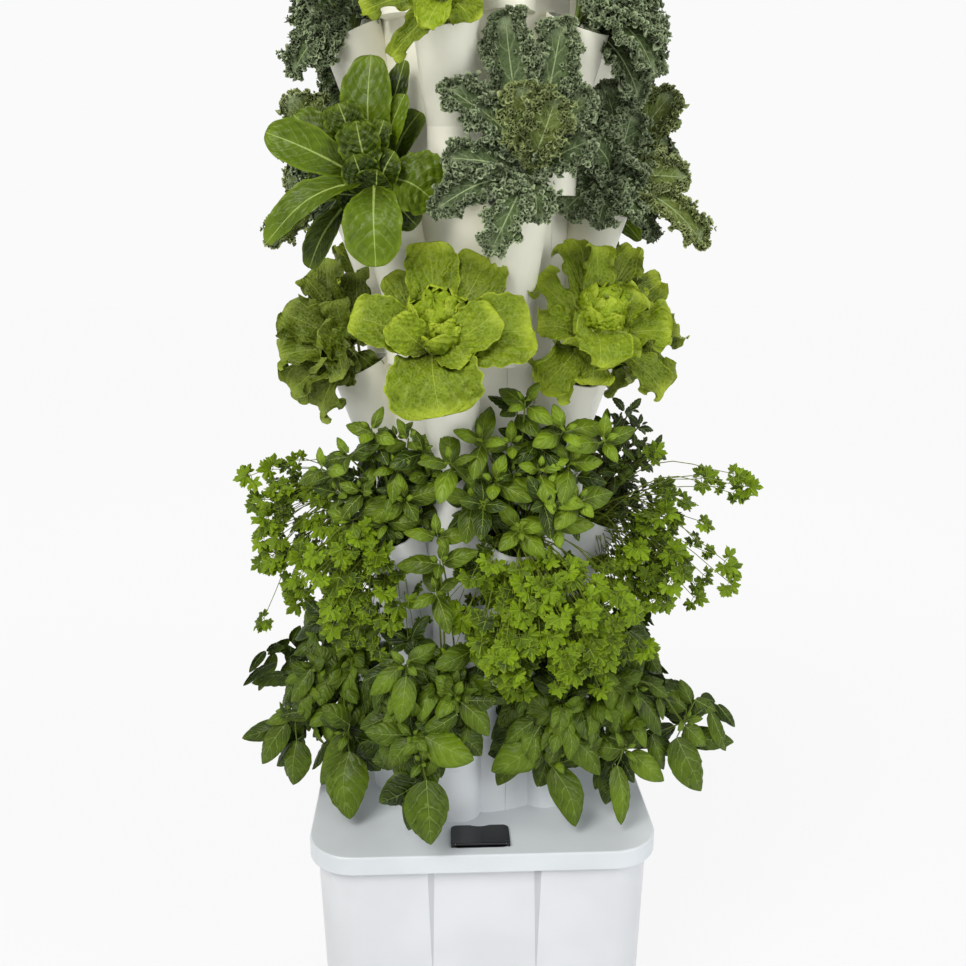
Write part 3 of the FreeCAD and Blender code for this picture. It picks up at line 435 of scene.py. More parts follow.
# %% Foliage
class Foliage:
    """Collects the sheets and tubes of one plant and makes one mesh of them."""

    def __init__(self, seed):
        self.rng = np.random.default_rng(seed)
        self.points, self.faces, self.leaf, self.tint = [], [], [], []
        self.count = 0

    def grid(self, points, leaf, tint):
        """Adds a rows by columns grid of points, or a stack of such grids, with its attributes."""
        number = points[..., 0].size
        index = self.count + np.arange(number).reshape(points.shape[:-1])
        corners = (index[..., :-1, :-1], index[..., :-1, 1:], index[..., 1:, 1:], index[..., 1:, :-1])
        self.points.append(points.reshape(-1, 3))
        self.faces.append(np.stack(corners, -1).reshape(-1, 4))
        self.leaf.append(leaf.reshape(-1, 3))
        self.tint.append(np.broadcast_to(tint, points.shape).reshape(-1, 3))
        self.count += number

    def tube(self, path, start, end, tint=0.5, sides=6):
        """A round stem along a list of points, from one radius to another."""
        path = smooth_path(path, 4)
        along = np.gradient(path, axis=0)
        along /= np.linalg.norm(along, axis=1, keepdims=True)
        side = np.cross(along, (0.31, 0.52, 0.79))
        side /= np.linalg.norm(side, axis=1, keepdims=True)
        up = np.cross(side, along)
        angle = np.linspace(0.0, 2.0 * math.pi, sides + 1)
        radius = np.linspace(start, end, len(path))[:, None, None]
        ring = side[:, None] * np.cos(angle)[None, :, None] + up[:, None] * np.sin(angle)[None, :, None]
        points = path[:, None] + ring * radius
        leaf = np.zeros(points.shape)
        leaf[..., 0] = -1.0
        self.grid(points, leaf, (tint, 0.0, 0.0))

    def mesh(self, name):
        """Everything collected so far, as one smooth mesh."""
        points = np.concatenate(self.points).astype(np.float32)
        faces = np.concatenate(self.faces).astype(np.int32)
        mesh = bpy.data.meshes.new(name)
        mesh.vertices.add(len(points))
        mesh.vertices.foreach_set("co", points.ravel())
        mesh.loops.add(faces.size)
        mesh.loops.foreach_set("vertex_index", faces.ravel())
        mesh.polygons.add(len(faces))
        mesh.polygons.foreach_set("loop_start", np.arange(0, faces.size, 4, dtype=np.int32))
        for key, values in (("leaf", self.leaf), ("tint", self.tint)):
            flat = np.concatenate(values).astype(np.float32).ravel()
            mesh.attributes.new(key, "FLOAT_VECTOR", "POINT").data.foreach_set("vector", flat)
        mesh.update()
        mesh.polygons.foreach_set("use_smooth", np.ones(len(faces), bool))
        return mesh


# %% [markdown]
# ## A leaf
# Every leaf is one sheet, a grid that runs from base to tip (u, 0 to 1) and from
# edge to edge (v, -1 to 1). Its midrib is a curve, its outline a width that
# changes along it, and across it the sheet is cupped, blistered between the
# veins and ruffled towards the edge. A sculpted leaf would look as good once,
# but a formula gives hundreds of leaves that all differ.

# %% Midrib and outline
def leaf_frame(base, tip, width, style, face, arch, sway):
    """The midrib of a leaf as a curve, the directions along it and half its width."""
    chord = tip - base
    length = np.linalg.norm(chord)
    along = chord / length
    normal = face - along * (face @ along)
    if np.linalg.norm(normal) < 0.05:
        normal = np.cross(along, (1.0, 0.0, 0.0))
    normal = unit(normal)
    side = np.cross(along, normal)
    rows = style["rows"]
    u = (1 - np.cos(np.linspace(0, math.pi, rows))) / 2 * 0.5 + np.linspace(0, 1, rows) * 0.5
    bow = 4 * u * (1 - u) * (1 + 0.35 * np.sin(math.pi * u))
    rib = base + u[:, None] * chord + (bow * arch * length)[:, None] * normal \
        + (np.sin(math.pi * u) * sway * length)[:, None] * side
    forward = np.gradient(rib, axis=0)
    forward /= np.linalg.norm(forward, axis=1, keepdims=True)
    across = side - forward * (forward @ side)[:, None]
    across /= np.linalg.norm(across, axis=1, keepdims=True)
    up = np.cross(across, forward)
    a, b = style["outline"]
    peak = (a / (a + b)) ** a * (b / (a + b)) ** b
    half = width / 2 * ((u + 1e-6) ** a * (1 - u + 1e-6) ** b) / peak
    return u, rib, across, up, np.maximum(half, width * 0.012)


# %% Cup, blisters and ruffles
def leaf_sheet(rng, u, half, width, style):
    """Places across and above the midrib for each point of the leaf's grid."""
    v = np.linspace(-1, 1, style["columns"])
    v = np.sign(v) * np.abs(v) ** 0.85
    uu, vv = np.meshgrid(u, v, indexing="ij")
    edge, hand = np.abs(vv), np.sign(vv)
    reach = half[:, None] * np.ones_like(vv)
    bend = style["cup"]
    seed = any_angle(rng, 8)
    if "lobes" in style:
        wave = np.sin(uu * style["lobe_count"] * FULL_TURN + seed[0] + hand * 0.8)
        reach = reach * (1 - style["lobes"] * (0.5 - 0.5 * wave) * edge ** 2)
    x = reach * vv * np.sinc(bend * edge / math.pi)
    z = reach * edge ** 1.6 * bend * 0.8
    if "blister" in style:
        q = uu * style["veins"] - edge * style["sweep"]
        cell = np.cos(FULL_TURN * q) * (1 - edge ** 4) * np.minimum(1, edge * 5)
        lump = np.sin(uu * 31 + seed[1]) * np.sin(vv * 17 + seed[2] + 3 * uu)
        crease = np.sin(uu * 67 + 5 * vv + seed[6]) * np.sin(vv * 41 - 9 * uu + seed[7])
        z = z + style["blister"] * reach * (0.5 * lump + 0.28 * crease) * np.minimum(1, edge * 4)
        z = z - style["blister"] * reach * (0.5 + 0.5 * cell) * 0.5
    if "ruffle" in style:
        waves = style["waves"]
        amount = style["ruffle"] * width * edge ** style.get("reach", 3.0) * np.minimum(1, uu * 5)
        swing = np.sin(FULL_TURN * waves * uu + seed[3] + 2 * hand)
        swing += 0.55 * np.sin(FULL_TURN * waves * 2.3 * uu + seed[4] + 3 * hand + edge)
        z = z + amount * swing
        x = x + hand * amount * 0.5 * np.cos(FULL_TURN * waves * 1.6 * uu + seed[5])
    return uu, vv, x, z


# %% [markdown]
# ## Frills
# Kale and ruffled lettuce have more edge than their leaf has room for, so the
# edge folds back and forth into a frill. The grid of the leaf is too coarse for
# that. A frill is a narrow band of its own instead, which stands on a line of
# the leaf and is folded like a curtain, each fold a little different.

# %% Frills
FRILL_ROWS = 5
FRILL_STEP = 0.085


def add_frill(plant, path, outwards, up, u, wide, wave, lean, tone, each):
    """A curly band that stands on a line of the leaf, wide across, in folds of length wave."""
    rng = plant.rng
    gone = np.concatenate([[0], np.cumsum(np.linalg.norm(np.diff(path, axis=0), axis=1))])
    s = np.arange(0.10, 1.0, FRILL_STEP * wave / gone[-1]) * gone[-1]
    line, out, top = (np.stack([np.interp(s, gone, column) for column in values.T], -1)
                      for values in (path, outwards, up))
    ahead = unit_rows(np.gradient(line, axis=0))
    t = np.linspace(0, 1, FRILL_ROWS)
    drift = np.cumsum(rng.normal(0, 0.13, len(s)))
    phase = (FULL_TURN * s / wave + drift)[:, None]
    angle = lean + 0.35 * np.sin(FULL_TURN * s / wave / 4.3 + any_angle(rng))
    way = out * np.cos(angle)[:, None] + top * np.sin(angle)[:, None]
    rise = np.cross(ahead, way)
    size = wide * (0.75 + 0.5 * rng.random()) * np.clip((s / gone[-1] - 0.06) * 6, 0.2, 1) \
        * (0.85 + 0.3 * np.sin(FULL_TURN * s / wave / 2.7))
    curl = t[None] ** 1.2 * size[:, None]
    fold = 0.50 * np.sin(phase) + 0.12 * np.sin(2.0 * phase + 1.5 * t[None])
    slide = -0.08 * wave / wide * np.sin(2.0 * phase)
    roll = t[None] - 0.30 * t[None] ** 3 * (1 + np.sin(phase * 0.5))
    points = line[:, None] + way[:, None] * (size[:, None] * roll)[..., None] \
        + rise[:, None] * (curl * fold)[..., None] + ahead[:, None] * (curl * slide)[..., None]
    share = np.interp(s, gone, u)[:, None] * np.ones_like(t)[None]
    leaf = np.stack([share, np.full_like(share, 0.9), np.full_like(share, 0.02)], -1)
    # the third number, the place across the band, lets the material paint shade in a fold and a highlight
    # at its edge
    tint = np.stack([np.full_like(share, tone), np.full_like(share, each),
                     t[None] * np.ones_like(share)], -1)
    plant.grid(points, leaf, tint)


# %% [markdown]
# ## Curls of the kale
# The outer half of a kale leaf is so crowded with small curls that no single
# frill shows any more. Modelling folds that deep would tangle the sheet. Small
# cupped patches, scattered densely over the outer half and a little beyond the
# edge, throw the same fine shadows and catch the same fine lights.

# %% Curls
CURL_RADII = (0.0018, 0.0035)
CURL_RINGS = (0.05, 0.60, 1.0)


def add_curls(plant, points, uu, across, up, number, tone, each):
    """Small cupped curls that crowd the outer half of a leaf and a little beyond its edge."""
    rng = plant.rng
    rows, columns = points.shape[:2]
    row = rng.integers(2, rows, number)
    hand = rng.choice((-1.0, 1.0), number)
    share = uu[row, 0]
    crest = 1.0 + 0.18 * np.sin(share * 31 + hand * 1.3 + any_angle(rng))
    out = (0.30 + 0.85 * rng.beta(2.0, 1.2, number)) * crest
    column = np.rint((np.clip(out, 0, 1) ** 1.18 * hand + 1) * (columns - 1) / 2).astype(int)
    edge = np.clip(out - 1.0, 0.0, 1.0)[:, None] * 0.022
    centre = points[row, column] + across[row] * hand[:, None] * edge
    centre = centre + up[row] * (rng.uniform(0.0005, 0.0065, number) * np.clip(out, 0, 1))[:, None]
    centre = centre + rng.normal(0, 0.0012, (number, 3))
    normal = unit_rows(up[row] + 0.5 * (out * hand)[:, None] * across[row]
                       + rng.normal(0, 0.45, (number, 3)))
    one = unit_rows(np.cross(normal, rng.normal(0, 1, (number, 3))))
    other = np.cross(normal, one)
    ring, angle = np.meshgrid(CURL_RINGS, np.linspace(0, FULL_TURN, 9), indexing="ij")
    spin = any_angle(rng, (2, number, 1, 1))
    radius = rng.uniform(*CURL_RADII, number)[:, None, None]
    wide = radius * ring * (1 + 0.25 * np.sin(3 * angle + spin[0]))
    high = radius * (0.75 * ring ** 2 + 0.40 * ring * np.sin(2 * angle + spin[1]))
    patch = centre[:, None, None] + one[:, None, None] * (wide * np.cos(angle))[..., None] \
        + other[:, None, None] * (wide * np.sin(angle))[..., None] + normal[:, None, None] * high[..., None]
    ones = np.ones_like(wide)
    leaf = np.stack([share[:, None, None] * ones, 0.9 * ones, 0.02 * ones], -1)
    tones = tone + rng.normal(0, 0.22, (number, 1, 1))
    # the ring goes into the tint, so the material paints shade in a curl's middle and a highlight on its
    # rim
    tint = np.stack([tones * ones, each * ones, np.maximum(0.08, ring) * ones], -1)
    plant.grid(patch, leaf, tint)


# %% [markdown]
# ## One leaf in place
# A leaf now needs only its base, its tip, its width and the way its upper side
# faces. Leaves turn towards the light, and here that is the open room in front
# of the tower, so the upper side is a mix of the pocket's own lean and the front.

# %% Leaf in place
def add_leaf(plant, base, tip, width, style, face, arch=0.12, sway=0.0, tone=0.5):
    """A leaf from base to tip, width across, its upper side turned towards face."""
    rng = plant.rng
    base, tip, face = (np.asarray(x, float) for x in (base, tip, face))
    frills = style.get("frills", ())
    if frills:
        width = max(0.5 * width, width - 1.5 * frills[0][1])
    u, rib, across, up, half = leaf_frame(base, tip, width, style, face, arch, sway)
    uu, vv, x, z = leaf_sheet(rng, u, half, width, style)
    points = rib[:, None] + across[:, None] * x[..., None] + up[:, None] * z[..., None]
    each = 0.85 + 0.15 * rng.uniform() if tone >= 0.7 else 0.55 * rng.uniform()
    tone = tone + rng.normal(0, 0.05)
    plant.grid(points, np.stack([uu, vv, x], -1), (tone, each, 0.0))
    last = style["columns"] - 1
    for place, wide, wave, lean in frills:
        for hand in (-1, 1):
            column = round(hand * place * last / 2 + last / 2)
            way = across * hand
            add_frill(plant, points[:, column], way, up, u, wide, wave, lean, tone, each)
    if style.get("curls"):
        length = np.linalg.norm(tip - base)
        add_curls(plant, points, uu, across, up, int(style["curls"] * length * width), tone, each)


def towards_viewer(way, rng, spread=0.16):
    """An upper side that turns partly out of the pocket and partly to the open front."""
    return unit(0.42 * unit(way) + np.array((0.0, -0.80, 0.20)) + rng.normal(0, spread, 3))


# %% [markdown]
# ## Kinds of leaves
# The kinds differ in a few numbers: how many rows and columns their sheet has,
# where it is widest (outline), how far it closes like a cup, and how strongly it
# is blistered, lobed and ruffled. A frill is given by its place between midrib
# and edge, its width, the length of its folds and its lean, and curls as a
# number for each square metre of leaf.

# %% Kinds of leaves
KALE_FRILLS = ((1.0, 0.0080, 0.0125, 0.1), (0.80, 0.0080, 0.0115, 1.2))
LEAF_FRILLS = ((1.0, 0.0110, 0.0300, 0.45),)
STYLES = {
    "kale": {"rows": 44, "columns": 17, "outline": (0.75, 0.45), "cup": 0.25, "ruffle": 0.07, "waves": 4.0,
             "reach": 2.0, "lobes": 0.35, "lobe_count": 3.5, "frills": KALE_FRILLS, "curls": 88000},
    "romaine": {"rows": 40, "columns": 21, "outline": (0.72, 0.48), "cup": 0.35, "blister": 0.13,
                "veins": 7.0, "sweep": 1.6, "ruffle": 0.018, "waves": 2.2},
    "crinkled": {"rows": 44, "columns": 21, "outline": (0.6, 0.35), "cup": 0.5, "blister": 0.24,
                 "veins": 8.0, "sweep": 1.4, "ruffle": 0.05, "waves": 3.0},
    "butterhead": {"rows": 48, "columns": 27, "outline": (0.58, 0.30), "cup": 0.34, "blister": 0.13,
                   "veins": 3.0, "sweep": 3.0, "ruffle": 0.034, "waves": 3.2},
    "heart": {"rows": 40, "columns": 25, "outline": (0.62, 0.42), "cup": 0.95, "blister": 0.20,
              "veins": 4.0, "sweep": 2.5, "ruffle": 0.035, "waves": 3.0},
    "ruffled": {"rows": 52, "columns": 21, "outline": (0.62, 0.34), "cup": 0.50, "blister": 0.12,
                "veins": 3.0, "sweep": 3.0, "ruffle": 0.15, "waves": 1.6, "reach": 2.0,
                "frills": LEAF_FRILLS},
    "basil": {"rows": 22, "columns": 13, "outline": (0.46, 0.68), "cup": -0.55, "blister": 0.18,
              "veins": 5.0, "sweep": 1.5},
    "mint": {"rows": 14, "columns": 9, "outline": (0.6, 0.7), "cup": -0.2, "blister": 0.12, "veins": 5.0,
             "sweep": 1.5, "lobes": 0.25, "lobe_count": 6.0},
}
print("kinds of leaves:", ", ".join(STYLES))


# %% [markdown]
# ## What a leaf looks like
# A leaf is darker between its veins and paler along them, its midrib is nearly
# white-green in lettuce and kale, and its edge is lighter where the tissue is
# thin. A painted picture could give that, but it would have to be laid on
# hundreds of leaves. So the material reads u and v from the mesh: the midrib is
# where the distance from it is small, and the side veins are lines of constant
# u minus a share of |v|, so that they sweep forwards. Stems carry u = -1.

# %% Veins, net and frills
NET_SCALE, NET_WOBBLE = 190.0, 0.004
YOUNG_EDGE = srgb(150, 160, 72)


def vein_lines(n, u, side, blotch, fine, veins, sweep):
    """How near a point is to a side vein, and how far the leaf puffs up beside it, which also sets a
    painted highlight there.
    """
    curved = n.math("POWER", side, 1.35)
    shifted = n.math("MULTIPLY_ADD", curved, -sweep, n.math("MULTIPLY", u, veins))
    wobble = n.math("MULTIPLY_ADD", blotch, 0.9, n.math("MULTIPLY_ADD", fine, 0.22, shifted))
    wave = n.math("PINGPONG", wobble, 0.5)
    return n.ramp(wave, 0.0, 0.12, 1.0, 0.0), n.math("MULTIPLY", n.ramp(wave, 0.08, 0.45), 0.16)


def fine_net(n, where):
    """The net of the finest veins, 0 on its threads and 1 between them."""
    cells = n.add("ShaderNodeTexVoronoi", feature="DISTANCE_TO_EDGE")
    cells.inputs["Scale"].default_value = NET_SCALE
    warped = n.add("ShaderNodeVectorMath", operation="ADD")
    n.link(where, warped.inputs[0])
    shift = n.add("ShaderNodeVectorMath", operation="SCALE")
    n.link(n.add("ShaderNodeTexNoise", noise_dimensions="3D").outputs["Color"], shift.inputs[0])
    shift.inputs["Scale"].default_value = NET_WOBBLE
    n.link(shift.outputs[0], warped.inputs[1])
    n.link(warped.outputs[0], cells.inputs["Vector"])
    return n.ramp(cells.outputs["Distance"], 0.0, 0.42)


def frill_colours_and_painted_light(n, colour, frill, tone, dark, edge, frill_share, young):
    """Frills and curls: painted shade in their depth, a painted highlight at their edge, warmer on young
    leaves.
    """
    bright = n.mix(n.math("ADD", tone, 0.0, clamp=True), deep(edge, 0.45), edge)
    if young is not None:
        bright = n.mix(n.math("MULTIPLY", young, 0.8), bright, YOUNG_EDGE)
    # painted shade deep in a fold or curl, painted highlight at its edge
    curl = n.mix(n.ramp(frill, 0.15, 0.98), deep(dark, 0.40), bright)
    return n.mix(n.math("MULTIPLY", n.ramp(frill, 0.01, 0.2), frill_share), colour, curl)


# %% Leaf material
def leaf_material(name, dark, light, vein, edge, stem, veins=6.0, sweep=1.5, rib_mm=1.2,
                  vein_share=0.5, roughness=0.42, edge_start=0.8, relief=0.6, frill_share=0.0,
                  net=0.0, rib_share=0.85, shade=0.0, warm=None):
    """A leaf between dark and light, with veins, edge and stem of their own colours."""
    material, n, shader = new_material(name, roughness, 0.18)
    u, v, x = n.read("leaf")
    tone, each, frill = n.read("tint")
    side = n.math("ABSOLUTE", v)
    where = n.object_coordinates()
    blotch = n.noise(70.0, 3.0, where)
    fine = n.noise(420.0, 3.0, where)
    brightness = n.math("MULTIPLY_ADD", tone, 1.2, -0.45)
    colour = n.mix(n.math("MULTIPLY_ADD", blotch, 0.7, brightness, clamp=True), dark, light)
    young = n.math("MULTIPLY", n.ramp(each, 0.5, 1.0), 0.7) if warm else None
    if young is not None:
        colour = n.mix(young, colour, warm)
    if shade:
        # painted shade: the leaf turns darker towards its base, deep in the plant
        inside = n.math("MULTIPLY", n.ramp(u, 0.0, 0.5, 1.0, 0.0), shade)
        colour = n.mix(inside, colour, deep(dark, 0.35))
    line, puff_and_highlight = vein_lines(n, u, side, blotch, fine, veins, sweep)
    # painted highlight: the puffed middle between two veins is turned lighter
    colour = n.mix(puff_and_highlight, colour, light)
    if net:
        middle = fine_net(n, where)
        colour = n.mix(n.math("MULTIPLY", n.math("SUBTRACT", 1.0, middle), net), colour, vein)
    fade = n.ramp(side, 0.55, 1.0, 1.0, 0.25)
    line = n.math("MULTIPLY", n.math("MULTIPLY", line, fade), vein_share)
    rib_half = n.math("MULTIPLY_ADD", u, -0.7 * rib_mm / 1000, rib_mm / 1000)
    rib = n.ramp(n.math("DIVIDE", n.math("ABSOLUTE", x), rib_half), 0.5, 1.3, 1.0, 0.0)
    colour = n.mix(line, colour, vein)
    rim = n.math("MAXIMUM", n.ramp(side, edge_start, 1.0), n.ramp(u, 0.8, 1.0))
    colour = n.mix(n.math("MULTIPLY", rim, 0.6), colour, edge)
    colour = n.mix(n.math("MULTIPLY", rib, rib_share), colour, vein)
    if frill_share:
        colour = frill_colours_and_painted_light(n, colour, frill, tone, dark, edge, frill_share, young)
    is_stem = n.math("LESS_THAN", u, -0.5)
    n.link(n.mix(is_stem, colour, stem), shader.inputs["Base Color"])
    groove = n.math("ADD", n.math("MULTIPLY", line, -0.8), n.math("MULTIPLY", rib, -0.7))
    quilt = n.math("ADD", groove, n.math("MULTIPLY", puff_and_highlight, 3.0))
    if net:
        quilt = n.math("MULTIPLY_ADD", middle, 0.9, quilt)
    on_leaf = n.math("SUBTRACT", 1.0, is_stem)
    height = n.math("MULTIPLY", n.math("MULTIPLY_ADD", fine, 0.35, quilt), on_leaf)
    n.link(n.bump(height, relief, 0.0012), shader.inputs["Normal"])
    return material


# %% [markdown]
# ## Greens
# Romaine is a deep green, butterhead a bright yellow-green, kale a grey-green
# whose inner leaves turn warm, and basil lies between. The colours are picked
# darker than they seem, because leaves lighten each other where they overlap.

# %% Leaf colours
leaf_finishes = {
    "kale": leaf_material("kale_leaf", srgb(22, 36, 8), srgb(84, 104, 58), srgb(158, 174, 124),
                          srgb(178, 194, 150), srgb(128, 146, 78), veins=6.0, sweep=2.6, rib_mm=1.5,
                          vein_share=0.35, roughness=0.5, edge_start=0.95, frill_share=0.97, net=0.10,
                          shade=0.5, warm=srgb(98, 108, 14)),
    "romaine": leaf_material("romaine_leaf", srgb(16, 32, 0), srgb(98, 122, 14), srgb(156, 174, 92),
                             srgb(112, 134, 30), srgb(140, 160, 70), veins=7.0, sweep=2.2, rib_mm=1.7,
                             vein_share=0.20, roughness=0.34, shade=0.7),
    "lettuce": leaf_material("lettuce_leaf", srgb(34, 54, 0), srgb(128, 152, 0), srgb(180, 194, 84),
                             srgb(180, 196, 58), srgb(174, 188, 100), veins=3.0, sweep=3.2, rib_mm=1.1,
                             vein_share=0.20, roughness=0.4, frill_share=0.25, net=0.16, edge_start=0.94,
                             rib_share=0.42, shade=1.0),
    # painted shade: a darker copy of the lettuce colours for the head in its neighbours' shade
    "shaded_lettuce": leaf_material("shaded_lettuce_leaf", srgb(30, 44, 0), srgb(98, 118, 0),
                                  srgb(164, 180, 84), srgb(152, 170, 66), srgb(160, 176, 90), veins=3.0,
                                  sweep=3.2, rib_mm=1.1, vein_share=0.18, roughness=0.4,
                                  frill_share=0.25, net=0.16, edge_start=0.94, rib_share=0.42, shade=1.0),
    "basil": leaf_material("basil_leaf", srgb(14, 30, 0), srgb(102, 126, 24), srgb(136, 158, 76),
                           srgb(76, 98, 14), srgb(86, 102, 32), veins=4.5, sweep=1.9, rib_mm=0.6,
                           vein_share=0.36, roughness=0.36, rib_share=0.6, shade=0.5),
    "small_basil": leaf_material("small_basil_leaf", srgb(18, 36, 0), srgb(122, 148, 28),
                                 srgb(162, 184, 88), srgb(88, 112, 14), srgb(100, 118, 38), veins=4.0,
                                 sweep=1.8, rib_mm=0.5, vein_share=0.34, roughness=0.36, rib_share=0.6,
                                 shade=0.6),
    "mint": leaf_material("mint_leaf", srgb(22, 36, 0), srgb(84, 104, 18), srgb(120, 140, 62),
                          srgb(66, 86, 16), srgb(80, 80, 36), veins=5.0, sweep=1.4, rib_mm=0.5,
                          vein_share=0.2),
    "cilantro": leaf_material("cilantro_leaf", srgb(18, 34, 0), srgb(118, 146, 8), srgb(150, 174, 50),
                              srgb(130, 156, 20), srgb(112, 128, 40), veins=5.0, sweep=1.2, rib_mm=0.3,
                              vein_share=0.05, roughness=0.45, shade=0.5, relief=0.2),
}
print("leaf materials:", len(leaf_finishes))


# %% [markdown]
# ## Shoots of basil and mint
# Basil and mint carry their leaves in opposite pairs, each pair turned a quarter
# against the one below, so a shoot seen from above is a small cross. Placing
# each of those small leaves by hand would take hundreds of lines. A shoot needs
# only its foot and its top, and its leaves are drawn around the top.

# %% Shoots
SHOOT_SIZES = (0.34, 0.70, 1.0, 0.85)
SHOOT_LIFTS = (1.3, 0.55, 0.12, -0.25)
SHOOT_DROOP = np.array((0, 0, 0.1))
SHOOT_STEM = (0.0014, 0.0014 * 0.7)


def quarter_frame(axis, spin):
    """Two directions across an axis, the first turned by spin."""
    side = unit(np.cross(axis, (0.27, 0.91, 0.31)))
    other = np.cross(axis, side)
    turned_side = side * math.cos(spin) + other * math.sin(spin)
    return turned_side, other * math.cos(spin) - side * math.sin(spin)


def add_shoot(plant, foot, top, size, style, outwards, pairs=2, tone=0.5):
    """A stem from foot to top with pairs of opposite leaves; size is the largest leaf's length."""
    rng = plant.rng
    foot, top = np.asarray(foot, float), np.asarray(top, float)
    middle = (foot + top) / 2 + (0.0, 0.0, 0.12 * np.linalg.norm(top - foot))
    plant.tube([foot, middle, top], *SHOOT_STEM, tone)
    front = towards_viewer(outwards, rng)
    axis = unit(0.45 * unit(top - middle) + 0.75 * front)
    spin = rng.uniform(0, math.pi)
    for pair in range(pairs + 1):
        share, lift = SHOOT_SIZES[pair], SHOOT_LIFTS[pair]
        for sign in (1.0, -1.0):
            one, _ = quarter_frame(axis, spin + pair * math.pi / 2 + rng.normal(0, 0.20))
            way = unit(one * sign + axis * (lift + rng.normal(0, 0.12)) - SHOOT_DROOP)
            length = size * share * rng.uniform(0.85, 1.12)
            start = top + way * 0.003 - axis * 0.0045 * pair
            face = unit(0.7 * axis + 0.5 * front + rng.normal(0, 0.16, 3))
            add_leaf(plant, start, start + way * length, length * rng.uniform(0.50, 0.62), style, face,
                     arch=0.12, tone=tone + rng.normal(0, 0.12) - 0.12 * (pair - 1))


# %% [markdown]
# ## Directions of a pocket
# A pocket leans out of the tower, and its plant grows from a plug that sits a
# little below the pocket's mouth. Everything below is measured from the middle
# of that mouth: centimetres are easier to read off a picture than metres.

# %% Directions of a pocket
PLUG_DEPTH = 0.012


def pocket_way(turn):
    """The direction that a pocket's plants lean, out and up, for a pocket at turn degrees."""
    a = math.radians(turn)
    return np.array((0.7 * math.sin(a), -0.7 * math.cos(a), 0.72))


def in_pocket(right, front, up):
    """Centimetres right of, in front of and above the mouth, as metres along the frame's axes."""
    return np.array((right, -front, up)) / 100.0


# %% [markdown]
# ## The inside of a herb
# Between the leaves in front one sees more leaves, darker ones, and no bare
# stems. Single leaves that fill a round region do that. Their tone is painted
# shade: those nearer to the front are brighter and those deeper in darker,
# which gives the plant its depth even in flat light.

# %% Crowded leaves
def ball(rng):
    """A point drawn evenly from a ball of radius 1."""
    way = unit(rng.normal(0, 1, 3))
    return way * rng.uniform() ** (1 / 3)


def crowd(plant, middle, half_size, number, size, style, way):
    """Single leaves that fill a round region in front of a pocket, with painted shade: darker deeper in,
    brighter towards the front.
    """
    rng = plant.rng
    for _ in range(number):
        spot = ball(rng)
        place = in_pocket(*(np.array(middle) + spot * half_size))
        chord = unit(0.7 * unit(place) + np.array((0.0, 0.0, -0.35)) + rng.normal(0, 0.55, 3) * (1, 0.5, 1))
        length = size * rng.uniform(0.7, 1.25)
        # the tone is painted shade: leaves deeper in the region are darker
        add_leaf(plant, place - chord * length * 0.4, place + chord * length * 0.6,
                 length * rng.uniform(0.50, 0.64), style, towards_viewer(way, rng, 0.34), 0.12,
                 rng.normal(0, 0.05), 0.05 + 0.32 * (1 + spot[1]) + rng.normal(0, 0.1))


# %% [markdown]
# ## Cilantro
# Cilantro has thin stems that branch into three leaflets, each a fan of three
# toothed lobes. A fan isn't a strip with a midrib, so it gets its own grid, in
# rings around the point where it is held. Its edge is the outline times the ring.

# %% Cilantro leaves
FAN_SPREAD, LOBE_SPACING, TOOTH_SPACING = math.radians(84), math.radians(56), math.radians(18.7)


def add_fan(plant, base, tip, face, tone=0.5):
    """A cilantro leaflet: a fan of three toothed lobes from base to tip."""
    rng = plant.rng
    along = unit(tip - base)
    length = np.linalg.norm(tip - base)
    normal = unit(face - along * (face @ along))
    side = np.cross(along, normal)
    reach = FAN_SPREAD
    turn = np.linspace(-reach, reach, 33)
    lobe = 0.5 + 0.5 * np.cos(turn / LOBE_SPACING * 2 * math.pi)
    outline = 0.52 + 0.42 * lobe ** 0.55 + 0.06 * np.cos(turn / TOOTH_SPACING * 2 * math.pi)
    outline = outline * (1 - 0.20 * (np.abs(turn) / reach) ** 2) * length
    share = np.array((0.02, 0.4, 0.75, 1.0))
    uu, tt = np.meshgrid(share, turn, indexing="ij")
    radius = uu * outline[None]
    wave = np.sin(tt * 9 + any_angle(rng)) * 0.08 * length * uu ** 2
    wave -= 0.22 * length * uu ** 2.2
    points = base + along * (radius * np.cos(tt))[..., None] + side * (radius * np.sin(tt))[..., None]
    points = points + normal * wave[..., None]
    leaf = np.stack([uu, tt / reach, radius * np.sin(tt)], -1)
    plant.grid(points, leaf, (tone + rng.normal(0, 0.08), rng.uniform(), length))


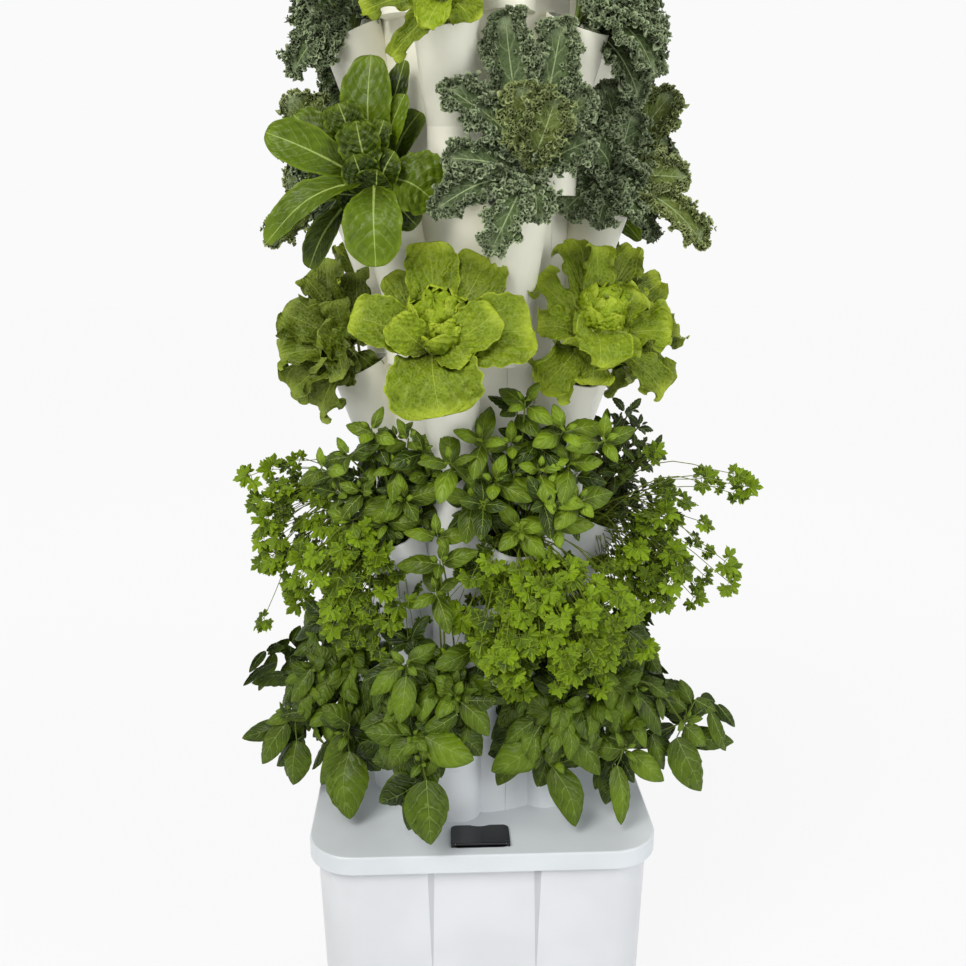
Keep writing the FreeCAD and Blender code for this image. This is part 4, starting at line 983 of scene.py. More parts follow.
def add_frond(plant, foot, place, size, outwards, tone=0.5):
    """A thin arched stem from foot to place, with a leaf of three parts, each of three fans."""
    rng = plant.rng
    foot, place = np.asarray(foot, float), np.asarray(place, float)
    span = np.linalg.norm(place - foot)
    foot = foot + rng.normal(0, 0.009, 3)
    rise = np.array((0, 0, rng.uniform(0.04, 0.22) * span))
    middle = (foot + place) / 2 + rise + rng.uniform(0.0, 0.1) * span * np.asarray(outwards)
    plant.tube([foot, middle, place], 0.0009, 0.0005, tone - 0.2, sides=5)
    way = unit(place - middle)
    face = towards_viewer(outwards, rng, 0.28)
    across = unit(np.cross(way, face))
    for direction, share, far in ((way, 1.0, 0.55), (way * 0.30 + across, 0.85, 0.5),
                                  (way * 0.30 - across, 0.85, 0.5)):
        direction = unit(direction + rng.normal(0, 0.18, 3))
        joint = place + direction * size * far * rng.uniform(0.5, 1.1)
        plant.tube([place, joint], 0.0005, 0.0004, 0.6, sides=4)
        side = unit(np.cross(direction, face))
        for turn, part in ((0.0, 1.0), (1.15, 0.8), (-1.15, 0.8)):
            out = unit(direction * math.cos(turn) + side * math.sin(turn) + rng.normal(0, 0.12, 3))
            tilt = unit(face + rng.normal(0, 0.22, 3))
            add_fan(plant, joint, joint + out * size * share * part * rng.uniform(0.75, 1.1), tilt,
                    tone + rng.normal(0, 0.12))


# %% [markdown]
# ## Leaves for the side of the tower
# Leaves that face the front are seen edge on from the side. A plant whose pocket
# points sideways therefore gets eight more leaves that face its own way. From
# the front these stand behind the others and fill what is between them.

# %% Leaves that face outwards
OUTWARD_LEAVES = 8
STALK = (0.0022, 0.0022 * 0.7)


def grow_outwards(plant, turn, style):
    """Leaves for the side of the tower: they face the pocket's own way and spread to its sides."""
    rng = plant.rng
    way = unit(pocket_way(turn))
    a = math.radians(turn)
    tangent = np.array((math.cos(a), math.sin(a), 0.0))
    back = 1.0 if a > 0 else -1.0
    for k in range(OUTWARD_LEAVES):
        hand = back if abs(turn) < 60 or k % 3 else -back
        aside = hand * tangent
        base = 0.030 * way + 0.012 * aside
        tip = way * rng.uniform(0.045, 0.085) + aside * rng.uniform(0.04, 0.095) \
            + np.array((0.0, 0.0, rng.uniform(-0.07, 0.06)))
        add_leaf(plant, base, tip, rng.uniform(0.042, 0.06), style, way + 0.3 * rng.normal(0, 1, 3),
                 0.14, rng.normal(0, 0.03), rng.uniform(0.3, 0.6))
        plant.tube([-PLUG_DEPTH * way, 0.5 * base, base, base + 0.12 * (tip - base)], *STALK, 0.6)


# %% [markdown]
# ## Lettuce hearts
# In the middle of a lettuce young leaves close over each other like a bud. Four
# rings of small cupped leaves lean inwards around a crumpled dome, which fills
# the gap between the innermost ones.

# %% Hearts
HEART_RINGS = ((6, 0.95, 0.22, 1.50), (6, 0.68, 0.52, 1.30), (6, 0.36, 0.68, 1.05), (4, 0.10, 0.62, 0.80))


def grow_heart(plant, centre, radius, way):
    """Cupped leaves in rings that close over each other around a centre."""
    rng = plant.rng
    axis = unit(way)
    for count, spread, lift, size in HEART_RINGS:
        start = any_angle(rng)
        for k in range(count):
            one, _ = quarter_frame(axis, start + FULL_TURN * k / count + rng.uniform(-0.2, 0.2))
            base = centre - axis * radius * 0.75 + one * radius * 0.15
            tip = centre + one * radius * spread * rng.uniform(0.85, 1.1) + axis * radius * lift
            add_leaf(plant, base, tip, radius * size * rng.uniform(0.9, 1.1), STYLES["heart"],
                     unit(axis - 0.6 * one), -0.20, rng.normal(0, 0.05), 0.62 + 0.38 * rng.uniform())
    ring, angle = np.meshgrid(np.linspace(0.02, 1, 16), np.linspace(0, FULL_TURN, 41), indexing="ij")
    spin = any_angle(rng, 3)
    crumple = 1 + 0.11 * np.sin(4 * angle + 7 * ring + spin[0]) \
        + 0.08 * np.sin(9 * angle - 11 * ring + spin[1])
    crumple = (crumple + 0.05 * np.sin(16 * angle + 19 * ring + spin[2])) * radius * 0.60
    one, other = quarter_frame(axis, spin[0])
    out, high = crumple * np.sin(ring * 1.9), crumple * np.cos(ring * 1.9) + 0.12 * radius
    dome = centre + axis * high[..., None] + one * (out * np.cos(angle))[..., None] \
        + other * (out * np.sin(angle))[..., None]
    leaf = np.stack([0.6 + 0.3 * ring, np.sin(3 * angle) * 0.8, 0.02 + 0 * ring], -1)
    plant.grid(dome, leaf, (0.85, 0.5, 0.0))
    trunk = [-PLUG_DEPTH * axis, centre * 0.5, centre - axis * radius * 0.7]
    plant.tube(trunk, 0.006, 0.008, 0.7)


# %% [markdown]
# ## Rosettes
# Lettuces, romaine and kale grow as rosettes. Their leaves are big and few, and
# each stands where it stands in the real plant, so they are written out, one
# line for each leaf: its base and its tip, in centimetres to the right of the
# middle of the pocket's mouth, in front of it and above it, then its width and
# its tone, from 0 for a dark leaf to 1 for a bright one. A last word names
# another kind of leaf. Stems run from each leaf back into the plug.

# %% Rosettes
SIDEWAYS = 30
templates = {}


def keep_plant(name, plant, turn, finish):
    """Stores a plant's mesh under its name, with the turn of the pocket it was made for."""
    mesh = plant.mesh(name)
    mesh.materials.append(leaf_finishes[finish])
    templates[name] = (mesh, turn)
    print(name, "faces:", len(mesh.polygons))


def grow_rosette(name, leaves, seed, turn, style, finish, hearts=()):
    """A plant of single leaves, with crinkled hearts given as (right, front, up, radius)."""
    plant = Foliage(seed)
    way = pocket_way(turn)
    foot = -PLUG_DEPTH * unit(way)
    for row in leaves:
        base, tip = in_pocket(*row[:3]), in_pocket(*row[3:6])
        lean = unit(tip - base) @ unit(way)
        arch = 0.04 + 0.11 * (1.0 - max(0.0, lean))
        kind = STYLES[row[8]] if len(row) > 8 else STYLES[style]
        face = towards_viewer(way, plant.rng)
        add_leaf(plant, base, tip, row[6] / 100, kind, face, arch, plant.rng.normal(0, 0.03), row[7])
        middle = (foot + base) / 2 + 0.12 * (base - foot) @ unit(way) * unit(way)
        plant.tube([foot, middle, base, base + 0.12 * (tip - base)], *STALK, 0.6)
    if abs(turn) > SIDEWAYS:
        grow_outwards(plant, turn, STYLES[style])
    for right, front, up, radius in hearts:
        grow_heart(plant, in_pocket(right, front, up), radius / 100, way)
    keep_plant(name, plant, turn, finish)


# %% [markdown]
# ## Romaine
# Long, upright, dark leaves with a broad pale midrib, and a core of crinkled
# young leaves. It hangs a little to the left over its pocket's edge.

# %% Romaine
ROMAINE = [
    (-1.4, 0.5, 3.5, -1.4, 0.5, 16.4, 6.2, 0.55), (0.5, 0, 4.4, 2.4, -0.5, 16.0, 3.2, 0.2),
    (0.1, 1.5, 3.9, 2.4, 2.0, 12.0, 3.9, 0.7), (-4.6, 1.0, 4.9, -10.5, 0, 9.9, 4.7, 0.5),
    (-3.8, 2.5, 3.4, -13.3, 3.5, 7.7, 5.3, 0.55), (-2.2, 3.0, 2.5, -13.4, 6.0, -4.5, 4.5, 0.6),
    (-4.8, 1.5, -0.2, -9.1, 2.0, -7.4, 3.4, 0.3), (-1.2, 4.0, 1.8, -1.0, 8.0, -7.1, 6.9, 0.6),
    (0, 3.0, 2.8, 5.8, 4.5, 0, 8.5, 0.55), (0.5, 0, 3.8, 4.1, -1.0, 10.4, 3.7, 0.3),
    (-1.7, 3.0, 3.0, -3.1, 4.0, 8.9, 5.2, 0.3, "crinkled"),
    (-3.1, 2.0, 4.8, -5.2, 2.0, 11.0, 4.9, 0.35, "crinkled"),
    (-1.2, 3.0, 3.6, 0, 3.0, 9.1, 3.4, 0.25, "crinkled"), (-1.6, 2.4, 1.0, -3.4, 4.6, 5.2, 4.6, 0.1),
    (-0.6, 2.4, 1.0, 1.2, 4.6, 5.6, 4.6, 0.1), (-1.0, 2.4, 0.4, -0.8, 5.0, 3.6, 4.8, 0.15),
    (-2.0, 2.0, 0.6, -5.6, 3.6, 1.0, 4.2, 0.1), (0.2, 2.0, 0.6, 3.6, 3.0, -2.6, 4.0, 0.1),
]
grow_rosette("romaine", ROMAINE, 11, -45, "romaine", "romaine")

# %% [markdown]
# ## Butterhead
# A loose head of broad, soft, rounded leaves around a closed heart. Its leaves
# are the widest of all, so they get the finest grid and the gentlest ruffles.

# %% Butterhead
BUTTERHEAD = [
    (-1.9, 4.0, 3.4, -1.0, 9.0, -3.3, 11.1, 0.5), (-2.8, 4.0, 3.4, -11.0, 5.0, 7.6, 6.6, 0.5),
    (0, 4.0, 3.4, 9.6, 5.0, 5.9, 8.9, 0.55), (-1.8, 2.0, 5.7, -2.2, 0, 15.6, 6.4, 0.5),
    (-0.7, 2.0, 5.5, 4.6, 0, 13.9, 7.1, 0.5), (-0.2, 1.0, 5.0, 6.7, -1.5, 11.9, 3.6, 0.2),
    (-2.8, 2.0, 4.8, -6.7, 1.5, 12.1, 4.0, 0.35), (-2.3, 5.0, 3.7, -6.2, 7.5, 7.5, 4.7, 0.6),
    (-0.5, 5.0, 3.9, 5.4, 7.0, 8.1, 5.4, 0.6), (-1.0, 4.5, 3.4, 2.3, 8.0, 2.9, 4.5, 0.5),
]
grow_rosette("butterhead", BUTTERHEAD, 12, -15, "butterhead", "lettuce", hearts=[(-1.0, 4.2, 7.4, 4.3)])

# %% [markdown]
# ## Ruffled lettuces
# Two heads stand beside the butterhead. Both have deeply waved edges. The left
# one stands in the shade of its neighbours, and that shade is painted into a
# darker copy of the lettuce colours; the right one has a heart of its own.

# %% Ruffled lettuces
RUFFLED_RIGHT = [
    (0.4, 4, 3.7, -4.3, 6, -1.1, 6.4, 0.5), (1.6, 4, 3.7, 1.4, 8, -0.6, 5.1, 0.5),
    (3.3, 4, 3.6, 10.3, 6, -1.9, 5.8, 0.45), (3.4, 3, 4.4, 11.4, 4, 5.4, 6.3, 0.5),
    (3.9, 2, 3.5, 13.5, 0, 4.2, 4.5, 0.2), (3.8, 1, 4.6, 10.9, -1, 11.0, 4.0, 0.2),
    (3.0, 1, 5.2, 7.9, -2, 14.8, 4.5, 0.25), (1.3, 2, 5.5, -1.3, 0, 15.5, 4.7, 0.45),
    (2.1, 2, 5.9, 2.6, 1, 15.1, 4.9, 0.5), (0.4, 4, 4.5, -4.8, 5, 6.0, 5.2, 0.5),
    (0.5, 3, 5.4, -4.7, 2, 11.2, 4.6, 0.45), (1.7, 5, 5.5, 2.0, 10, 1.7, 8.0, 0.6),
    (2.6, 4, 5.5, 7.4, 4, 9.9, 5.3, 0.45),
]
RUFFLED_LEFT = [
    (-0.9, 1, 2.8, -3.9, -1.5, 13.6, 4.7, 0.25), (-1.7, 1, 3.2, -6.6, 1, 11.3, 3.3, 0.4),
    (-1.6, 2, 2.8, -9.5, 2, 7.0, 6.2, 0.5), (-1.3, 3, 2.4, -9.8, 3.5, 1.7, 4.6, 0.5),
    (-1.0, 3, 1.9, -8.6, 3, -2.9, 5.1, 0.45), (-0.8, 3, 1.6, -4.9, 4, -5.3, 5.4, 0.45),
    (-0.2, 0, 3.3, -0.4, -2.5, 11.7, 4.5, 0.25), (-0.4, 2, 2.0, 2.3, 1, -0.7, 3.4, 0.35),
    (-0.9, 4, 2.5, -4.6, 6, 5.1, 5.5, 0.6), (-0.8, 3, 2.9, -2.6, 4, 8.6, 5.0, 0.5),
    (-0.5, 4, 2.0, -1.6, 5, -1.8, 4.3, 0.5),
]
grow_rosette("ruffled_right", RUFFLED_RIGHT, 13, 45, "ruffled", "lettuce", hearts=[(3.6, 3.2, 7.6, 4.2)])
grow_rosette("ruffled_left", RUFFLED_LEFT, 14, -75, "ruffled", "shaded_lettuce")

# %% [markdown]
# ## Kale of the fourth tier
# Long leaves with a pale midrib, bare near the midrib and crowded with curls
# outside it. The tones above 0.7 mark young leaves, which are warmer.

# %% Kale of the fourth tier
KALE_MIDDLE = [
    (0.8, 1, 4.1, -1.6, 0, 20.2, 7.5, 0.5), (1.5, 1, 4.1, 4.9, -1, 19.6, 7.1, 0.5),
    (0.3, 2, 3.7, -8.5, 3, 12.3, 6.3, 0.5), (0.2, 3, 3.2, -8.3, 5, 4.6, 5.5, 0.5),
    (0.2, 3.5, 2.6, -9.8, 6, -1.1, 5.6, 0.4), (0.4, 4, 2.1, -3.7, 9, -5.6, 5.5, 0.6),
    (0.8, 4, 2.1, 1.5, 7.5, -2.2, 5.1, 0.5), (1.0, 4, 3.9, -0.3, 5.5, 12.2, 7.5, 0.75),
    (1.2, 4, 3.9, 3.6, 6, 10.9, 6.8, 0.7), (0.6, 3, 3.7, -5.1, 4.5, 10.1, 5.7, 0.5),
    (1.5, 4, 3.4, 7.5, 5, 6.5, 6.2, 0.5), (1.6, 2, 4.1, 7.3, 1, 12.2, 6.0, 0.4),
]
KALE_RIGHT = [
    (0.8, 2, 4.1, -4.1, 3, 12.6, 7.9, 0.5), (1.1, 2, 4.4, -0.3, 3, 14.0, 7.4, 0.5),
    (1.3, 2.5, 4.1, 3.1, 3.5, 10.7, 7.2, 0.45), (0.2, 3, 3.1, -5.3, 5, -0.9, 6.7, 0.5),
    (0.7, 3, 2.7, -1.1, 6, -2.6, 5.7, 0.5), (2.2, 0, 4.2, 8.9, -1, 13.6, 7.7, 0.75),
    (1.6, 2, 3.4, 10.1, 3, 3.2, 6.7, 0.72), (1.9, 2, 3.0, 12.7, 3, -4.8, 5.4, 0.72),
    (1.8, 1, 2.5, 6.3, 2, -4.2, 3.9, 0.35), (1.5, 1, 3.7, 6.6, 1, 7.0, 5.7, 0.6),
    (0.5, 4, 3.6, -2.3, 6.5, 7.3, 7.5, 0.5), (1.0, 3, 2.9, 3.6, 5, 1.0, 5.8, 0.5),
    (2.0, -2, 4.4, 8.9, -3, 8.1, 7.3, 0.4),
]
grow_rosette("kale_middle", KALE_MIDDLE, 15, 15, "kale", "kale")
grow_rosette("kale_right", KALE_RIGHT, 16, 75, "kale", "kale")

# %% [markdown]
# ## Plants of the fifth tier
# The picture cuts these off at the top: a young loose-leaf lettuce in the middle
# and kale on both sides. What is cut off is grown in the same way as the rest.

# %% Plants of the fifth tier
LOOSE_LEAF = [
    (-1.0, 3, 0.2, -5.9, 5, -5.1, 2.8, 0.5), (-0.8, 2, 1.0, -9.0, 3, -0.3, 2.6, 0.45),
    (-0.4, 4, 0.8, -2.4, 7.5, -2.8, 4.5, 0.75), (0.5, 4, 0.8, 2.8, 5, -1.6, 3.5, 0.55),
    (0.7, 2, 1.8, 4.2, 3, 1.6, 4.7, 0.55), (-0.4, 2, 2.4, -4.9, 1, 5.3, 5.3, 0.5),
    (0.1, 2, 2.6, -0.5, 0, 8.6, 6.1, 0.5), (0.5, 2, 2.6, 3.8, 0, 6.6, 5.6, 0.5),
    (0, 4, 1.4, -1.6, 5, 3.5, 4.7, 0.6), (0.2, 4, 1.4, 1.7, 4, 4.1, 4.7, 0.6),
]
KALE_UPPER_LEFT = [
    (-0.7, 1, 1.0, -7.0, 2, -5.0, 5.9, 0.5), (-0.3, 1, 1.7, -5.9, 2, -0.1, 6.7, 0.5),
    (-0.1, 0, 2.1, -3.4, 0, 3.2, 6.8, 0.5), (0.4, 0, 2.3, 0, 0, 4.7, 6.1, 0.4),
    (1.1, 0, 1.6, 4.1, 0, 2.8, 4.7, 0.4), (-0.3, 2, 0.2, -3.6, 3, -4.2, 4.3, 0.5),
    (0.3, -1, 3.4, -2.5, -2, 8.4, 7.3, 0.5), (0.8, -1, 3.4, 2.5, -2, 9.0, 6.7, 0.5),
]
KALE_UPPER_RIGHT = [
    (0.6, 1, 1.2, 8.7, 2, -5.8, 6.9, 0.5), (0.7, 1, 1.4, 9.7, 1, -1.9, 6.5, 0.5),
    (0.7, 1, 1.9, 8.2, 0, 1.9, 6.1, 0.5), (-0.1, 2, 2.1, 2.1, 2, 3.8, 6.5, 0.5),
    (0.8, -1, 0.5, 7.8, -2, -8.1, 5.6, 0.25), (-0.2, 1, 2.7, -1.1, 0, 7.7, 7.1, 0.5),
    (0.4, 0, 2.9, 6.1, -2, 7.2, 7.2, 0.5),
]
grow_rosette("loose_leaf", LOOSE_LEAF, 17, -15, "ruffled", "lettuce")
grow_rosette("kale_upper_left", KALE_UPPER_LEFT, 18, -75, "kale", "kale")
grow_rosette("kale_upper_right", KALE_UPPER_RIGHT, 19, 45, "kale", "kale")


# %% [markdown]
# ## Big basil
# Big basil hangs over its cups in the lowest tier. Its large leaves in front are
# written one by one, like those of the rosettes. Each is joined to the nearest
# fork of the stems and has two leaves behind it, darker as painted shade, and
# crowds of leaves fill the rest, so that the plant is as full as it is on the tower.

# %% Basil helpers
INSIDE_SHOOTS = 8
FORK_SHOOT, INSIDE_SHOOT, MASS_LEAF = 0.034, 0.052, 0.042
FORK_STEM, LEAF_STEM = (0.0021, 0.0014), (0.0011, 0.0008)


def behind(plant, base, tip, width, way):
    """A leaf further inside the plant, near a leaf that is written out, darker as painted shade."""
    rng = plant.rng
    back = np.array((0.0, 1.0, 0.0)) * rng.uniform(0.010, 0.030) - 0.006 * unit(way)
    turn = rng.normal(0, 0.75)
    chord = (tip - base) * rng.uniform(0.6, 0.95)
    turned = np.array((chord[0] * math.cos(turn) - chord[2] * math.sin(turn), chord[1] * 0.5,
                       chord[0] * math.sin(turn) + chord[2] * math.cos(turn)))
    start = base + back + rng.normal(0, 0.008, 3)
    face = towards_viewer(way, rng, 0.35)
    # low tone: painted shade inside the plant
    add_leaf(plant, start, start + turned, width * rng.uniform(0.65, 0.95), STYLES["basil"], face, 0.10,
             tone=rng.uniform(0.0, 0.3))


def grow_basil(name, leaves, seed, turn, forks, masses):
    """Basil with single leaves; forks are the points that its stems run to, masses are crowds."""
    plant = Foliage(seed)
    way = pocket_way(turn)
    foot = -PLUG_DEPTH * unit(way)
    places = [in_pocket(*fork) for fork in forks]
    for place in places:
        span = np.linalg.norm(place - foot)
        middle = (foot + place) / 2 + unit(way) * span * 0.3
        plant.tube([foot, middle, place], *FORK_STEM, 0.4)
    for row in leaves:
        base, tip = in_pocket(*row[:3]), in_pocket(*row[3:6])
        face = towards_viewer(way, plant.rng)
        add_leaf(plant, base, tip, row[6] / 100, STYLES["basil"], face, 0.10,
                 plant.rng.normal(0, 0.04), row[7])
        nearest = min(places, key=lambda place: np.linalg.norm(place - base))
        plant.tube([nearest, (nearest + base) / 2 + unit(way) * 0.002, base], *LEAF_STEM, 0.4)
        for _ in range(2):
            behind(plant, base, tip, row[6] / 100, way)
    for place in places:
        add_shoot(plant, place - unit(way) * 0.004, place + unit(way) * 0.008, FORK_SHOOT,
                  STYLES["basil"], unit(way), pairs=1, tone=0.7)
    for _ in range(INSIDE_SHOOTS):
        aside = plant.rng.normal(0, 1, 3) * (0.024, 0.012, 0.020)
        add_shoot(plant, foot, unit(way) * 0.034 + aside, INSIDE_SHOOT, STYLES["basil"], unit(way),
                  pairs=2, tone=plant.rng.uniform(0.1, 0.6))
    for middle, half_size, number in masses:
        crowd(plant, middle, half_size, number, MASS_LEAF, STYLES["basil"], way)
    keep_plant(name, plant, turn, "basil")


# %% [markdown]
# ## Basil on the left
# It hangs down to the left over the lid. One long leaf in front almost touches
# the lid, and the others step down to the side. The points after the leaves are
# the forks of its stems, and the last line is the middle, the half size and the
# number of the leaves that fill it.

# %% Basil on the left
BASIL_LEFT = [
    (-5.6, 3.0, 0, -6.6, 2.0, 2.7, 2.6, 0.5), (-7.3, 4.0, 0.2, -10.0, 5.0, -4.1, 2.6, 0.5),
    (-5.2, 4.5, -1.2, -6.1, 6.0, -4.2, 2.9, 0.5), (-0.6, 3.0, 0.6, -4.4, 3.0, -0.2, 2.9, 0.6),
    (-2.2, 3.0, -0.2, -0.7, 3.0, -2.0, 2.5, 0.5), (-10.8, 4.0, -7.4, -14.4, 4.0, -13.5, 3.4, 0.5),
    (-9.6, 4.0, -10.1, -10.2, 5.0, -16.2, 4.7, 0.45), (-9.7, 4.0, -6.0, -13.8, 3.0, -8.0, 2.0, 0.55),
    (-10.4, 2.0, -7.3, -9.6, 1.0, -11.6, 2.9, 0.35), (-2.2, 8.0, -9.8, -2.0, 12.0, -17.4, 6.4, 0.55),
    (-2.7, 6.0, -7.8, -6.3, 6.0, -15.7, 4.0, 0.5), (-2.1, 7.0, -6.6, -5.7, 7.0, -3.8, 3.4, 0.5),
    (-9.1, 3.0, -4.7, -8.5, 2.0, -9.3, 2.8, 0.3), (-9.4, 0.0, -4.6, -12.3, -2.0, -7.7, 3.2, 0.2),
    (-3.2, 3.0, -9.2, -4.8, 2.0, -14.2, 4.0, 0.2),
]
grow_basil("basil_left", BASIL_LEFT, 21, -75,
           [(-9.6, 3.6, -6.6), (-2.3, 6.6, -8.4), (-5.6, 3.4, -0.4), (-1.4, 3.0, 0.2)],
           [((-4.6, 3.0, -4.4), (6.4, 2.0, 5.6), 60)])

# %% [markdown]
# ## Basil in the middle
# The brightest of the three, because it stands in full light: broad leaves
# spread to both sides above one large leaf that hangs over the front.

# %% Basil in the middle
BASIL_MIDDLE = [
    (-6.2, 5.0, 5.4, -9.8, 6.0, 2.2, 2.7, 0.7), (-5.2, 4.0, 5.7, -1.8, 3.0, 7.5, 2.5, 0.5),
    (-5.4, 6.0, 4.6, -6.2, 7.5, -0.9, 3.2, 0.75), (-0.7, 4.0, 2.2, -3.6, 4.0, -0.8, 3.4, 0.3),
    (0.5, 5.0, 1.6, -1.8, 5.0, 4.1, 2.6, 0.65), (0.7, 6.0, -0.5, -3.8, 6.0, -3.0, 2.6, 0.5),
    (1.2, 5.0, 0.6, 4.6, 6.0, -3.5, 3.2, 0.5), (-3.2, 7.0, -2.9, 2.7, 8.0, -5.6, 4.5, 0.75),
    (-3.1, 9.0, -7.6, -2.6, 10.0, -15.7, 5.9, 0.55), (-5.7, 6.0, -3.1, -10.6, 6.0, -2.6, 3.1, 0.5),
    (-7.5, 4.0, -1.4, -11.3, 4.0, -3.1, 2.8, 0.25), (-5.0, 7.0, -3.3, -7.4, 7.0, -6.8, 3.0, 0.5),
    (-4.8, 6.0, -4.5, -6.1, 6.0, -9.8, 4.4, 0.2), (0.1, 4.0, -3.6, 3.8, 3.0, -7.7, 4.2, 0.3),
    (-5.2, 5.0, -8.4, -5.9, 4.0, -13.0, 3.7, 0.2), (-2.4, 5.0, -5.7, -1.3, 4.0, -10.1, 3.1, 0.2),
    (-2.6, 2.0, 0.9, -1.3, 2.0, -0.4, 3.1, 0.15),
]
grow_basil("basil_middle", BASIL_MIDDLE, 22, -15,
           [(-4.6, 6.0, -3.6), (-5.4, 4.8, 5.2), (0.5, 5.0, 1.0), (-3.6, 7.0, -6.6), (-1.4, 3.2, 0.6)],
           [((-2.6, 3.4, 0.2), (7.2, 1.8, 5.0), 56), ((-3.8, 5.0, -4.6), (4.6, 1.8, 4.0), 22)])

# %% [markdown]
# ## Basil on the right
# The widest plant of the tier. A long branch runs out to the right, well past
# the edge of the lid, so it has the most forks and the most leaves in its masses.

# %% Basil on the right
BASIL_RIGHT = [
    (-3.7, 5.0, -4.8, -10.1, 6.0, -10.5, 5.7, 0.6), (-1.8, 4.5, -4.5, -6.2, 4.0, -0.1, 3.8, 0.5),
    (-1.7, 4.5, -4.8, 2.3, 4.0, -3.2, 2.9, 0.65), (-1.2, 5.0, -5.4, 3.9, 6.0, -11.3, 4.3, 0.5),
    (-2.3, 6.0, -10.0, 0.6, 8.0, -17.4, 4.5, 0.5), (6.3, 5.0, -10.5, 6.6, 7.5, -17.6, 3.0, 0.7),
    (6.9, 4.5, -8.6, 3.1, 4.0, -8.4, 3.5, 0.5), (8.1, 4.5, -8.9, 12.5, 5.0, -12.9, 3.4, 0.75),
    (9.1, 4.0, -1.3, 12.1, 4.0, -6.9, 3.2, 0.3), (7.8, 4.0, -0.5, 3.1, 4.0, 2.2, 2.6, 0.65),
    (6.0, 3.5, -3.0, 6.9, 3.0, -8.1, 2.8, 0.5), (14.5, 2.5, -8.0, 18.0, 3.0, -15.6, 4.9, 0.5),
    (15.8, 1.5, -6.8, 18.9, 1.0, -10.1, 2.8, 0.75), (19.4, 0.5, -5.4, 21.9, 0, -11.4, 2.3, 0.55),
    (16.7, 1.0, -4.0, 15.2, 0, -0.9, 1.9, 0.5), (16.0, 1.0, -4.8, 12.8, 0, -3.1, 3.4, 0.5),
    (17.1, 1.0, -3.4, 20.3, 0, -5.5, 2.0, 0.5), (-2.4, 4.0, -8.7, -4.0, 4.0, -13.9, 3.3, 0.3),
    (5.8, 4.0, -11.0, 5.1, 4.0, -16.7, 3.9, 0.2), (8.1, 4.0, -8.6, 9.7, 3.0, -5.9, 3.6, 0.35),
    (11.3, 2.0, -7.8, 13.1, 2.0, -12.9, 2.5, 0.5), (-6.9, 3.0, -2.3, -9.9, 3.0, -7.6, 3.2, 0.2),
    (-6.3, 4.0, -7.9, -9.2, 4.0, -13.6, 3.5, 0.35), (8.5, -1.0, 5.7, 11.6, -2.0, 2.2, 3.3, 0.25),
    (7.7, 0, 4.1, 10.3, -1.0, -0.6, 3.7, 0.3), (11.5, -2.0, 1.8, 13.4, -3.0, -1.4, 2.2, 0.3),
    (4.5, 1.0, -6.0, 2.6, 1.0, -8.2, 4.1, 0.2),
]
grow_basil("basil_right", BASIL_RIGHT, 23, 45,
           [(-1.9, 4.7, -4.8), (7.0, 4.5, -8.8), (15.4, 1.9, -6.2), (8.2, 4.0, -0.8), (-2.3, 5.0, -9.4),
            (6.4, 2.0, 4.0), (3.6, 2.6, -4.6)],
           [((3.0, 3.2, -3.4), (11.0, 2.0, 5.4), 84), ((-3.0, 5.0, -4.6), (5.0, 1.6, 4.6), 24)])


# %% [markdown]
# ## Small herbs of the second tier
# Small basil, mint and cilantro have too many and too small leaves to be written
# out. Each line is only where a shoot or a leaf of cilantro ends. More are drawn
# between it and the foot of the plant, darker as painted shade, and a mass fills
# a round region.

# %% Herb helpers
def between(plant, foot, place, fill):
    """Places nearer to the foot than a written one, for the inside of a plant, where the callers give
    leaves a lower tone as painted shade.
    """
    rng = plant.rng
    for _ in range(fill):
        share = rng.uniform(0.45, 0.95)
        aside = rng.normal(0, 0.014, 3) + np.array((0.0, 0.012, 0.0))
        yield foot + (place - foot) * share + aside


def grow_shoots(name, seed, turn, tops, size, style, finish, tone=0.5, pairs=2, fill=2):
    """A herb whose shoots end at the written tops, with ones between them that are darker as painted shade.
    """
    plant = Foliage(seed)
    way = unit(pocket_way(turn))
    for right, front, up in tops:
        top = in_pocket(right, front, up)
        foot = -PLUG_DEPTH * way + plant.rng.normal(0, 0.006, 3)
        add_shoot(plant, foot, top, size * plant.rng.uniform(0.85, 1.15), STYLES[style], way, pairs,
                  tone + plant.rng.normal(0, 0.1))
        for inner in between(plant, foot, top, fill):
            # low tone: painted shade for the inner shoots
            add_shoot(plant, foot, inner, size * plant.rng.uniform(0.7, 1.0), STYLES[style], way, pairs,
                      plant.rng.uniform(-0.1, 0.25))
    keep_plant(name, plant, turn, finish)


